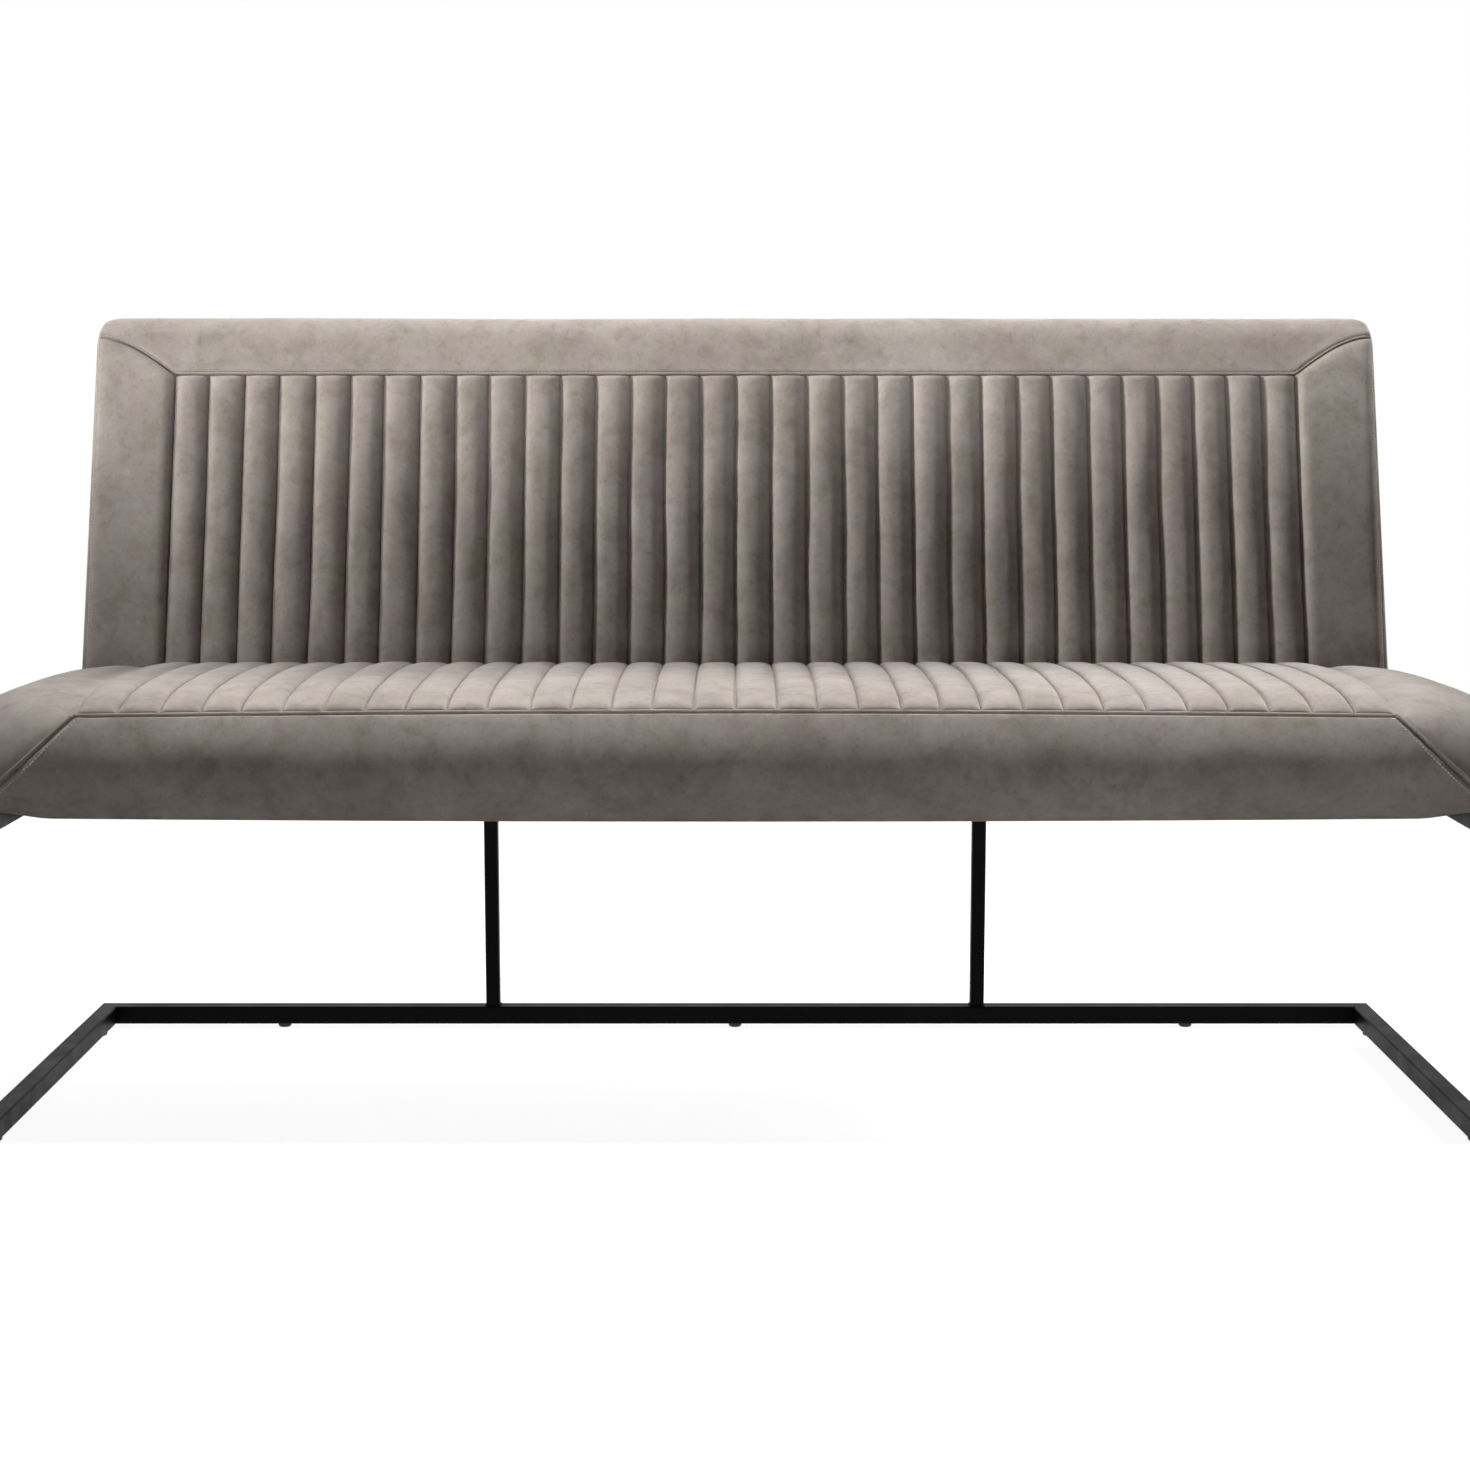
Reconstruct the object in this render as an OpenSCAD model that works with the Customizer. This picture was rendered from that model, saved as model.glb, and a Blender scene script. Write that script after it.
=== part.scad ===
// Long upholstered dining bench: a welded square-tube frame with an open-fronted
// floor frame, two rear uprights, a channelled seat and a channelled backrest.
// +X is to the sitter's left as seen from the front, +Y is to the rear, +Z is up.
// The origin is on the floor, under the middle of the bench.

/* [Steel frame] */
// Width over the floor frame
frame_w = 1592; // [1300:1:1800]
// Distance from the seat's front to the rear of the frame
frame_d = 527; // [500:1:560]
// Height of the top of the seat rails
frame_h = 351; // [300:1:420]
// Side of the square tube
tube = 22; // [18:1:28]
// Wall of the square tube
tube_wall = 1.5; // [1.2:0.1:2.5]
// Chamfer along the edges of the tubes
tube_chamfer = 1.5; // [0.5:0.1:2.5]
// How far the feet of the front legs stand in front of the seat
foot_lead = 20; // [5:1:40]
// How far the tops of the front legs stand behind the seat's front
leg_setback = 12; // [6:1:25]
// Side of the square tube of the uprights and backrest posts
upright = 17; // [14:1:20]
// Distance between the middles of the two uprights
upright_pitch = 606; // [400:1:900]
// How far the posts inside the backrest end below its top rail
post_drop = 101; // [40:1:180]
// Height of the plastic glides under the floor frame
glide_h = 5; // [3:0.5:8]
// Diameter of the glides
glide_d = 16; // [12:1:18]

/* [Seat] */
// How far the seat's sides reach past the frame
seat_overhang = 30; // [15:1:45]
// Height of the seat's crown above the rails
seat_t = 136; // [120:1:160]
// Number of channels across the seat and the backrest
channels = 32; // [20:1:36]
// Distance from the frame's side in to the outermost channel
seat_border_w = 111.2; // [90:0.1:130]
// Height of a seat channel above its seams
seat_channel_h = 5; // [2:0.5:8]
// Forward bulge of the seat's front face past its upper seam
front_bulge = 22; // [14:1:30]
// Height of the bulge's furthest point above the rails
bulge_h = 54; // [44:1:60]
// Drop of the seat's cover from its crown to the front seam
crown_drop = 25; // [15:1:30]
// Distance from the seat's front to the highest part of its crown
crown_d = 212; // [180:1:250]
// Drop of the cover from its crown to the rear of the seat
rear_drop = 10; // [4:1:16]
// Drop of the front seam from the middle to its ends
front_arch = 4.7; // [0:0.1:8]
// Fall of the seat's ends from the last channel to the side
end_slope = 19; // [5:1:25]
// Thickness of the wadded covers
cover_t = 12; // [8:1:14]
// How far the front lip hangs below the rails between them
lip_hang = 9.5; // [5:0.5:16]
// How far the sides draw in from the shoulder to the base
side_tuck = 20; // [10:1:26]
// Thickness of the plywood seat board
board_t = 15; // [12:1:18]
// Thickness of the plain rear cover of the seat
rear_cover_t = 3; // [2:0.5:5]

/* [Backrest] */
// Height of the backrest above the rails
back_h = 526.5; // [500:0.5:580]
// Lean of the backrest's front
front_lean = 17; // [15:0.5:19]
// Lean of the backrest's rear
rear_lean = 10.9; // [10:0.1:12]
// Thickness of the backrest at the height of the seat's crown
back_t = 111.2; // [100:0.1:130]
// How far the backrest's front side seams lie inside the frame's sides
back_inset = 19.5; // [12:0.5:40]
// Bulge of the backrest's end panels
end_bulge = 12; // [8:1:24]
// Height of the plain border above the backrest's channels
top_border_h = 70.5; // [62:0.5:90]
// Height of a backrest channel above its seams
back_channel_h = 9; // [4:0.5:11]
// Swell of the plain borders between their seams
border_swell = 5; // [2:0.5:8]
// Thickness of the backrest's rear panel
rear_panel_t = 6; // [4:0.5:8]
// Thickness of the timber rails and stiles
timber_t = 21; // [20:1:24]
// Width of the timber rails and stiles
timber_w = 45; // [35:1:60]
// Thickness of the plywood backrest board
back_board_t = 12; // [9:1:15]

/* [Fasteners] */
// Diameter of the bolts
bolt_d = 6; // [5:0.5:8]
// Diameter of the bolt heads
bolt_head_d = 11; // [9:0.5:14]
// Height of the bolt heads
bolt_head_h = 3.5; // [2.5:0.5:4]
// Wall of the threaded inserts in the boards
insert_wall = 1.5; // [1:0.1:2]

/* [Hidden] */
$fn = 32;

// Clearance between pieces that lie against each other
gap = 0.3;
// Overrun of a cut past the face that it opens
over = 2;
// Room around the boards, and the wood left past an insert
board_clear = 2;
// How far the seat board's ends stay inside the frame's sides
board_inset = 6;
// Colours of the materials
steel_color = [0.09, 0.09, 0.1];
plastic_color = [0.05, 0.05, 0.05];
suede_color = [0.56, 0.52, 0.49];
dust_color = [0.12, 0.12, 0.12];
ply_color = [0.8, 0.67, 0.47];
foam_color = [0.93, 0.88, 0.7];
zinc_color = [0.72, 0.72, 0.74];

// Steel frame
frame_half = frame_w / 2;
tube_base = glide_h;
tube_top = glide_h + tube;
rail_base = frame_h - tube;
inner_half = frame_half - tube;
leg_foot_y = tube / 2 - foot_lead;
leg_top_y = tube / 2 + leg_setback;
leg_rise = frame_h - tube - glide_h;
leg_lean = atan((leg_top_y - leg_foot_y) / leg_rise);
frame_mid_y = frame_d - tube / 2;
upright_x = upright_pitch / 2;
glide_stem_r = glide_d / 5;
glide_stem_h = tube_wall + gap;
glide_foot_r = glide_d / 2 - glide_h / 4;
rear_glide_x = frame_half * 0.71;
side_glide_front_y = tube;
side_glide_rear_y = frame_d - 2.6 * tube;

// Seat cover, as seams: the channels stand up from this surface
dust_t = 1;
seat_h = frame_h + seat_t;
seat_half = frame_half + seat_overhang;
panel_half = frame_half - seat_border_w;
seat_base = frame_h + gap;
bulge_z = frame_h + bulge_h;
seam_top = seat_h - seat_channel_h;
soft_drop_share = 0.12;
seam_z = seam_top - crown_drop;
shoulder_z = bulge_z + bulge_h * 0.37;
shoulder_x = seat_border_w + seat_overhang;
roundness = 2 / 3;
shoulder_share = 0.6;
corner_r = 2 * tube;
corner_y = crown_d / 2;
corner_steps = 3;
lip_run = 2.6 * tube;
lip_flat_share = 0.35;
step = 0.001;
side_shares = [0, 0.12, 0.25, 0.37, 0.48, 0.6, 0.8, 1];
front_shares = [-1, -0.97, -0.93, -0.86, -0.5, 0, 0.5, 0.86, 0.93, 0.97, 1];
channel_steps = 4;
seat_front_rise_share = 0.35;
foam_clear = 1.5;

// Backrest
overall_h = frame_h + back_h;
top_seam_h = overall_h - top_border_h;
lean_run = tan(front_lean);
rear_run = tan(rear_lean);
back_y = frame_d + seat_t * rear_run - back_t;
back_base = frame_h + dust_t;
rear_clear = back_channel_h + gap;
seat_rear_top = back_y - rear_clear - gap;
arc_r = back_top_width(overall_h)
    / (1 / cos(front_lean) + 1 / cos(rear_lean) + rear_run - lean_run);
arc_z = overall_h - arc_r;
arc_y = front_y(arc_z) + arc_r / cos(front_lean);
rear_reach = arc_y + arc_r;
back_half = frame_half - back_inset;
mitre_z = arc_z + arc_r * sin(front_lean);
end_droop = arc_r * 0.3;
droop_start = back_half * 0.9;
arc_steps = 9;
post_n = rear_panel_t + timber_t - upright;
board_n = rear_panel_t + timber_t;
board_front_n = board_n + back_board_t;
timber_top = (mitre_z - end_droop - back_base) / cos(rear_lean) - 2 * cover_t;
timber_foot = gap;
post_len = timber_top - timber_w - post_drop;
board_half = back_half - gap - board_clear;

// Where the whole bench is centred, front to rear
mid_y = (rear_reach + leg_edge(-tube / 2, tube_base)) / 2;

// Heights and places of the seat board and its bolts
board_base = frame_h + dust_t;
board_top = board_base + board_t;
board_side = frame_half - board_inset;
board_front_y = front_bulge + cover_t + lip_hang + board_clear;
board_rear_y = rear_y(board_base) - rear_cover_t - 2 * gap;
board_corner = tube;
front_cross_in = 106;
middle_cross_in = 28.5;
front_cross_y = board_front_y + front_cross_in;
middle_cross_y = board_rear_y - middle_cross_in;
bolt_r = bolt_d / 2;
bolt_hole_r = bolt_r + gap;
insert_r = bolt_hole_r + insert_wall;
insert_h = board_t - board_clear;
back_insert_h = back_board_t - board_clear;
bolt_reach = board_base + insert_h - rail_base;
rail_bolt_x = frame_half - tube / 2;
rail_bolt_ys = [board_front_y + 2 * tube, middle_cross_y - 2 * tube];
seat_bolt_places = [
    for (x = [-rail_bolt_x, rail_bolt_x], y = rail_bolt_ys) [x, y],
    for (x = [-upright_x, upright_x], y = [front_cross_y, middle_cross_y]) [x, y]];
post_bolt_shares = [0.35, 0.85];
key_share = 0.65;

function mix(a, b, t) = a + (b - a) * t;
function smooth(t) = t * t * (3 - 2 * t);
function limit(t) = max(0, min(1, t));

// Lines of the backrest, front and rear, and the rear plane of the seat
function front_y(z) = back_y + (z - seat_h) * lean_run;
function rear_line_y(z) = frame_d + (z - frame_h) * rear_run;
function back_top_width(z) = rear_line_y(z) - front_y(z);
function rear_y(z) = seat_rear_top + (z - seat_h) * lean_run;

// Height of the seat cover's seams at a distance from the front
function front_fall(t) = crown_drop
    * (soft_drop_share * pow(t, 2) + (1 - soft_drop_share) * pow(t, 5));
function front_share(y) = limit((crown_d - y) / (crown_d - front_bulge));
function cover_z(y) = y < crown_d
    ? seam_top - front_fall((crown_d - y) / (crown_d - front_bulge))
    : seam_top - rear_drop * pow((y - crown_d) / (seat_rear_top - crown_d), 2);

// The cover also falls towards the ends of the front seam, where share is 1
function arch_z(y, share) = cover_z(y) - front_arch * pow(share * front_share(y), 2);

// The front face bulges as a parabola and turns back at the rounded corners
function face_y(z, top) = front_bulge * pow((z - bulge_z) / (top - bulge_z), 2);
function corner_turn(x) = corner_r
    - sqrt(pow(corner_r, 2) - pow(max(0, abs(x) - seat_half + corner_r), 2));
function lip_z(x) = seat_base - lip_hang
    * (1 - lip_flat_share * pow(x / inner_half, 2))
    * smooth(limit((inner_half - gap - abs(x)) / lip_run));

// A point of the front border: v runs from the seam down to the lip,
// share runs across, and depth goes into the cushion
function mitre_x(v) = panel_half + seat_border_w * v;
function face_line(v, x, share) =
    let (top = seam_z - front_arch * share * share, z = mix(top, lip_z(x), v))
    [face_y(z, top) + corner_turn(x), z];
function face_point(v, share, depth) =
    let (x = share * (mitre_x(v) - depth * sqrt(max(0, v))),
        p = face_line(v, x, share),
        before = v <= 0 ? [corner_lead(), arch_z(corner_lead(), share)]
            : face_line(v - step, x, share),
        after = face_line(v + step, x, share),
        d = after - before,
        unit = norm(d))
    [x, p[0] - depth * d[1] / unit, p[1] + depth * d[0] / unit];
function corner_lead() = front_bulge * (1 + step);

// A point of the side border behind the corner: v runs from the seam
// over the shoulder and down to the base
function side_line(v, y) = v < shoulder_share
    ? let (a = 90 * max(0, v) / shoulder_share)
        [panel_half + shoulder_x * pow(sin(a), roundness),
         mix(shoulder_z, arch_z(y, 1) - end_slope, pow(cos(a), roundness))
            + end_slope * (1 - pow(sin(a), roundness))]
    : let (t = (v - shoulder_share) / (1 - shoulder_share))
        [seat_half - side_tuck * t * t, mix(shoulder_z, seat_base, t)];
function side_point(v, y, depth) =
    let (p = side_line(v, y), d = side_line(v + step, y) - side_line(v - step, y), unit = norm(d))
    v <= 0 ? [p[0], y, p[1] - depth]
        : [p[0] + depth * d[1] / unit, y, max(seat_base, p[1] - depth * d[0] / unit)];

// The corner between the mitre seam and the side
function corner_place(v, t, depth) =
    let (m = face_point(v, 1, depth),
        s = side_point(v, corner_y, depth),
        y = mix(m[1], corner_y, 1 - cos(90 * t)),
        fall = mix(arch_z(m[1], 1) - m[2], arch_z(corner_y, 1) - s[2], smooth(t)))
    [mix(m[0], s[0], sin(90 * t)), y, arch_z(y, 1) - fall];
function corner_rows() = [for (i = [0:corner_steps]) i / corner_steps];
function straight_rows() = [crown_d, (crown_d + seat_rear_top) / 2];
function seam_rows() = [
    for (t = corner_rows()) mix(front_bulge, corner_y, 1 - cos(90 * t)),
    each straight_rows()];
function side_rear(v, depth, back) =
    let (p = side_point(v, seat_rear_top, depth)) [p[0], rear_y(p[2]) - back, p[2]];
function side_row(v, depth, back) = [
    for (t = corner_rows()) corner_place(v, t, depth),
    for (y = straight_rows()) side_point(v, y, depth),
    side_rear(v, depth, back)];

// One channel's height at a share of its width: a full round between tight seams
function channel_rise(i) = pow(abs(sin(180 * i / channel_steps)), 0.7);

// Points of the backrest: on its front plane, around its top, and square to its rear
function on_front(x, z, out) =
    [x, front_y(z) - out * cos(front_lean), z + out * sin(front_lean)];
function end_fall(x) = end_droop
    * pow(limit((abs(x) - droop_start) / (back_half - droop_start)), 3);
function around_top(x, a, depth) =
    let (turn = (a - front_lean) / (180 + rear_lean - front_lean))
    [x,
     arc_y - (arc_r - depth) * cos(a) - end_fall(x) * mix(lean_run, rear_run, turn),
     arc_z + (arc_r - depth) * sin(a) - end_fall(x)];
function arc_angles() = [
    for (i = [0:arc_steps]) mix(front_lean, 180 + rear_lean, i / arc_steps)];
function top_start_z(x) = mix(top_seam_h, mitre_z - end_fall(back_half),
    limit((abs(x) - panel_half) / (back_half - panel_half)));
function from_rear(n, w) =
    [rear_line_y(back_base) - n * cos(rear_lean) + w * sin(rear_lean),
     back_base + n * sin(rear_lean) + w * cos(rear_lean)];

// Puts the seat's front-based lengths into the centred frame
module placed() { translate([0, -mid_y, 0]) children(); }
module mirrored() { mirror([1, 0, 0]) children(); }

// A closed pad between an outer grid and an inner grid of points. The inner grid
// has one column for every `every` columns of the outer one.
module pad(outer, inner, every = 1) {
    rows = len(outer);
    wide = len(outer[0]);
    few = len(inner[0]);
    skin = rows * wide;
    function o(r, c) = r * wide + c;
    function i(r, c) = skin + r * few + c;
    top = rows - 1;
    polyhedron(
        points = [for (r = outer) each r, for (r = inner) each r],
        faces = [
            for (r = [0:rows - 2], c = [0:wide - 2]) each [
                [o(r, c), o(r + 1, c + 1), o(r, c + 1)],
                [o(r, c), o(r + 1, c), o(r + 1, c + 1)]],
            for (r = [0:rows - 2], c = [0:few - 2]) each [
                [i(r, c), i(r, c + 1), i(r + 1, c + 1)],
                [i(r, c), i(r + 1, c + 1), i(r + 1, c)]],
            for (c = [0:few - 2], k = [0:every - 1]) each [
                [i(0, c), o(0, c * every + k), o(0, c * every + k + 1)],
                [i(top, c), o(top, c * every + k + 1), o(top, c * every + k)]],
            for (c = [0:few - 2]) each [
                [i(0, c), o(0, (c + 1) * every), i(0, c + 1)],
                [i(top, c), i(top, c + 1), o(top, (c + 1) * every)]],
            for (r = [0:rows - 2]) each [
                [i(r, 0), o(r + 1, 0), o(r, 0)],
                [i(r, 0), i(r + 1, 0), o(r + 1, 0)],
                [i(r, few - 1), o(r, wide - 1), o(r + 1, wide - 1)],
                [i(r, few - 1), o(r + 1, wide - 1), i(r + 1, few - 1)]]],
        convexity = 6);
}

// Outline of a square tube with chamfered edges, centred
module tube_outline(side, chamfer) {
    h = side / 2;
    k = h - chamfer;
    polygon([[-k, -h], [k, -h], [h, -k], [h, k], [k, h], [-k, h], [-h, k], [-h, -k]]);
}

// Hollow square tube standing on the origin
module square_tube(side, len) {
    linear_extrude(len)
        difference() {
            tube_outline(side, tube_chamfer);
            tube_outline(side - 2 * tube_wall, tube_chamfer / 2);
        }
}

// Tube along +X, +Y and +Z, from the middle of its near end
module tube_x(side, len) { rotate([90, 0, 90]) square_tube(side, len); }
module tube_y(side, len) { rotate([-90, 0, 0]) square_tube(side, len); }

// Keeps what lies inside the mitres of a U-shaped frame, seen from above
module back_mitre() {
    linear_extrude(overall_h)
        polygon([
            [-frame_half, frame_d], [frame_half, frame_d],
            [inner_half, frame_d - tube], [-inner_half, frame_d - tube]]);
}
module side_mitre() {
    linear_extrude(overall_h)
        polygon([
            [frame_half, frame_d], [inner_half, frame_d - tube],
            [inner_half, -frame_d], [frame_half, -frame_d]]);
}

// Tube across the rear of a U-shaped frame
module back_bar(z) {
    intersection() {
        translate([-frame_half, frame_mid_y, z + tube / 2]) tube_x(tube, frame_w);
        back_mitre();
    }
}

// Keeps what lies between the leg's two mitres, seen from the side
module leg_joint_x() {
    rotate([90, 0, 90]) linear_extrude(frame_w) children();
}
function leg_edge(out, z) = mix(leg_foot_y, leg_top_y, (z - tube_base - tube / 2) / leg_rise)
    + out / cos(leg_lean);
leg_outline = [
    [leg_edge(-tube / 2, tube_base), tube_base],
    [leg_edge(tube / 2, tube_top), tube_top],
    [leg_edge(tube / 2, rail_base), rail_base],
    [leg_edge(-tube / 2, frame_h), frame_h]];

// Side tube of a U-shaped frame, mitred into the leg at its front
module side_bar(z, front_outline) {
    intersection() {
        translate([rail_bolt_x, -frame_d, z + tube / 2]) tube_y(tube, 2 * frame_d);
        side_mitre();
        leg_joint_x() polygon(front_outline);
    }
}
floor_bar_outline = [
    leg_outline[0], [frame_d, tube_base], [frame_d, tube_top], leg_outline[1]];
rail_outline = [
    leg_outline[2], [frame_d, rail_base], [frame_d, frame_h], leg_outline[3]];

// Places of the glides under the floor frame
back_glides = [[-rear_glide_x, frame_mid_y], [0, frame_mid_y], [rear_glide_x, frame_mid_y]];
side_glides = [[rail_bolt_x, side_glide_front_y], [rail_bolt_x, side_glide_rear_y]];
left_glides = [for (p = side_glides) [-p[0], p[1]]];
module stem_holes(places) {
    for (p = places)
        translate([p[0], p[1], tube_base - over])
            cylinder(r = glide_stem_r + gap / 2, h = tube_wall + 2 * over);
}

module floor_back_tube() {
    color(steel_color) placed() difference() {
        back_bar(tube_base);
        stem_holes(back_glides);
    }
}

module floor_side() {
    difference() {
        side_bar(tube_base, floor_bar_outline);
        stem_holes(side_glides);
    }
}
module floor_side_tube_right() { color(steel_color) placed() floor_side(); }
module floor_side_tube_left() { color(steel_color) mirrored() placed() floor_side(); }

// Raked front leg, mitred into the floor tube and the seat rail
module front_leg() {
    intersection() {
        translate([rail_bolt_x, leg_foot_y, tube_base + tube / 2])
            rotate([-leg_lean, 0, 0])
            translate([0, 0, -frame_h])
            square_tube(tube, 3 * frame_h);
        leg_joint_x() polygon(leg_outline);
    }
}
module front_leg_right() { color(steel_color) placed() front_leg(); }
module front_leg_left() { color(steel_color) mirrored() placed() front_leg(); }

// Through holes for the seat bolts in a tube of the seat frame
module bolt_holes() {
    for (p = seat_bolt_places)
        translate([p[0], p[1], rail_base - over])
            cylinder(r = bolt_hole_r, h = tube + 2 * over);
}
module seat_rail() {
    difference() {
        side_bar(rail_base, rail_outline);
        bolt_holes();
    }
}
module seat_rail_right() { color(steel_color) placed() seat_rail(); }
module seat_rail_left() { color(steel_color) mirrored() placed() seat_rail(); }

// Cross tubes between the seat rails
module cross_tube(y) {
    translate([-inner_half, y, rail_base + tube / 2]) tube_x(tube, 2 * inner_half);
}
module front_cross_tube() {
    color(steel_color) placed() difference() {
        cross_tube(front_cross_y);
        bolt_holes();
    }
}
module middle_cross_tube() {
    color(steel_color) placed() difference() {
        cross_tube(middle_cross_y);
        bolt_holes();
    }
}
module rear_cross_tube() { color(steel_color) placed() back_bar(rail_base); }

// Upright from the floor frame to the rear cross tube
module rear_upright() {
    translate([upright_x, frame_mid_y, tube_top])
        square_tube(upright, rail_base - tube_top);
}
module rear_upright_right() { color(steel_color) placed() rear_upright(); }
module rear_upright_left() { color(steel_color) mirrored() placed() rear_upright(); }

// Plastic glides: a foot with a drawn-in edge and a stem pressed into the tube
module glide() {
    rotate_extrude()
        polygon([
            [0, 0], [glide_foot_r, 0], [glide_d / 2, glide_h / 4],
            [glide_d / 2, tube_base], [glide_stem_r, tube_base],
            [glide_stem_r, tube_base + glide_stem_h], [0, tube_base + glide_stem_h]]);
}
module floor_glides() {
    color(plastic_color) placed()
        for (p = concat(back_glides, side_glides, left_glides))
            translate([p[0], p[1], 0]) glide();
}

// Plywood board with rounded front corners, as an outline
module board_outline(inset) {
    x = board_side - inset;
    y = board_front_y + inset;
    polygon([
        [-x + board_corner, y], [x - board_corner, y], [x, y + board_corner],
        [x, board_rear_y], [-x, board_rear_y], [-x, y + board_corner]]);
}
module seat_dust_cover() {
    color(dust_color) placed() difference() {
        translate([0, 0, frame_h]) linear_extrude(dust_t) board_outline(cover_t);
        bolt_holes();
    }
}
module seat_board() {
    color(ply_color) placed() difference() {
        translate([0, 0, board_base]) linear_extrude(board_t) board_outline(0);
        for (p = seat_bolt_places)
            translate([p[0], p[1], board_base - over])
                cylinder(r = insert_r, h = insert_h + over + gap);
    }
}

// Threaded sleeves set into a board
module insert_nut(len) {
    difference() {
        cylinder(r = insert_r, h = len);
        translate([0, 0, -over]) cylinder(r = bolt_hole_r, h = len + 2 * over);
    }
}
module seat_insert_nuts() {
    color(zinc_color) placed()
        for (p = seat_bolt_places)
            translate([p[0], p[1], board_base]) insert_nut(insert_h);
}

// Round-headed bolt pointing up, with its head's bearing face on the origin
module bolt(len) {
    cylinder(r = bolt_r, h = len);
    difference() {
        translate([0, 0, -bolt_head_h])
            cylinder(r1 = bolt_head_d / 2 - bolt_head_h / 3, r2 = bolt_head_d / 2, h = bolt_head_h);
        translate([0, 0, -bolt_head_h - over])
            cylinder(r = bolt_r * key_share, h = over + bolt_head_h / 2, $fn = 6);
    }
}
module seat_bolts() {
    color(zinc_color) placed()
        for (p = seat_bolt_places)
            translate([p[0], p[1], rail_base]) bolt(bolt_reach);
}

// Foam under the covers: rings of points around the front and both sides
function foam_column(side, points) = [
    for (p = points) [side * p[0], p[1], max(p[2], board_top + gap)]];
module seat_foam() {
    depth = cover_t + foam_clear;
    back = rear_cover_t + 2 * gap;
    rows = [for (v = side_shares) side_row(v, depth, back)];
    levels = len(rows);
    last = len(rows[0]) - 1;
    right = [for (k = [last:-1:0]) foam_column(1, [for (row = rows) row[k]])];
    left = [for (k = [0:last]) foam_column(-1, [for (row = rows) row[k]])];
    around = concat(right, left);
    n = len(around);
    function at(k, v) = k * levels + v;
    color(foam_color) placed() polyhedron(
        points = [for (c = around) each c],
        faces = [
            for (k = [0:n - 2], v = [0:levels - 2]) each [
                [at(k, v), at(k + 1, v), at(k + 1, v + 1)],
                [at(k, v), at(k + 1, v + 1), at(k, v + 1)]],
            for (k = [0:n / 2 - 2]) each [
                [at(k, 0), at(n - 1 - k, 0), at(n - 2 - k, 0)],
                [at(k, 0), at(n - 2 - k, 0), at(k + 1, 0)],
                [at(k, levels - 1), at(k + 1, levels - 1), at(n - 2 - k, levels - 1)],
                [at(k, levels - 1), at(n - 2 - k, levels - 1), at(n - 1 - k, levels - 1)]],
            for (v = [0:levels - 2]) each [
                [at(0, v), at(0, v + 1), at(n - 1, v + 1)],
                [at(0, v), at(n - 1, v + 1), at(n - 1, v)]]],
        convexity = 4);
}

// Quilted top of the seat: channels from the front seam over the crown to the rear
function panel_x(c, every) = (panel_half - gap / 2) * (2 * c / (channels * every) - 1);
function panel_inner(y, depth, share) =
    let (slope = (arch_z(y + step, share) - arch_z(y - step, share)) / (2 * step),
        unit = norm([1, slope]))
    y <= front_bulge ? let (p = face_point(0, share, depth)) [p[1], p[2]]
        : [y + depth * slope / unit, arch_z(y, share) - depth / unit];
function panel_outer(y, rise, share) =
    let (slope = y > crown_d ? 0 : (arch_z(y + step, share) - arch_z(y, share)) / step,
        unit = norm([1, slope]),
        h = rise * (y <= front_bulge ? seat_front_rise_share : 1))
    [y - h * slope / unit * (y <= front_bulge ? 0 : 1), arch_z(y, share) + h / unit];
module seat_channel_panel() {
    back = rear_cover_t + 2 * gap;
    ends = channels * channel_steps;
    function outer_row(y) = [for (c = [0:ends])
        let (x = panel_x(c, channel_steps),
            p = panel_outer(y, seat_channel_h * channel_rise(c % channel_steps), x / panel_half))
        [x, p[0], p[1]]];
    function inner_row(y) = [for (c = [0:channels])
        let (x = panel_x(c, 1), p = panel_inner(y, cover_t, x / panel_half)) [x, p[0], p[1]]];
    function rear_outer() = [for (c = [0:ends])
        let (z = cover_z(seat_rear_top) + seat_channel_h * channel_rise(c % channel_steps))
        [panel_x(c, channel_steps), rear_y(z) - back, z]];
    function rear_inner() = [for (c = [0:channels])
        let (z = cover_z(seat_rear_top) - cover_t) [panel_x(c, 1), rear_y(z) - back, z]];
    color(suede_color) placed() pad(
        [for (y = seam_rows()) outer_row(y), rear_outer()],
        [for (y = seam_rows()) inner_row(y), rear_inner()],
        channel_steps);
}

// Plain front of the seat, from the front seam down to its lip between the mitres
module seat_front_border() {
    levels = [for (k = [len(side_shares) - 1:-1:0]) side_shares[k]];
    function row(v, depth) = [for (s = front_shares)
        let (p = face_point(v, s, depth))
        [p[0] * (1 - step), p[1], v < 1 ? p[2] - gap / 2 : max(p[2], lip_z(p[0]))]];
    color(suede_color) placed() pad(
        [for (v = levels) row(v, 0)],
        [for (v = levels) row(v, cover_t)]);
}

// Plain side of the seat, from the mitre seam around the corner to the rear
module seat_side() {
    levels = [for (k = [len(side_shares) - 1:-1:0]) side_shares[k]];
    back = rear_cover_t + 2 * gap;
    color(suede_color) placed() pad(
        [for (v = levels) side_row(v, 0, back)],
        [for (v = levels) side_row(v, cover_t, back)]);
}
module seat_side_border_right() { seat_side(); }
module seat_side_border_left() { mirrored() seat_side(); }

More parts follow.
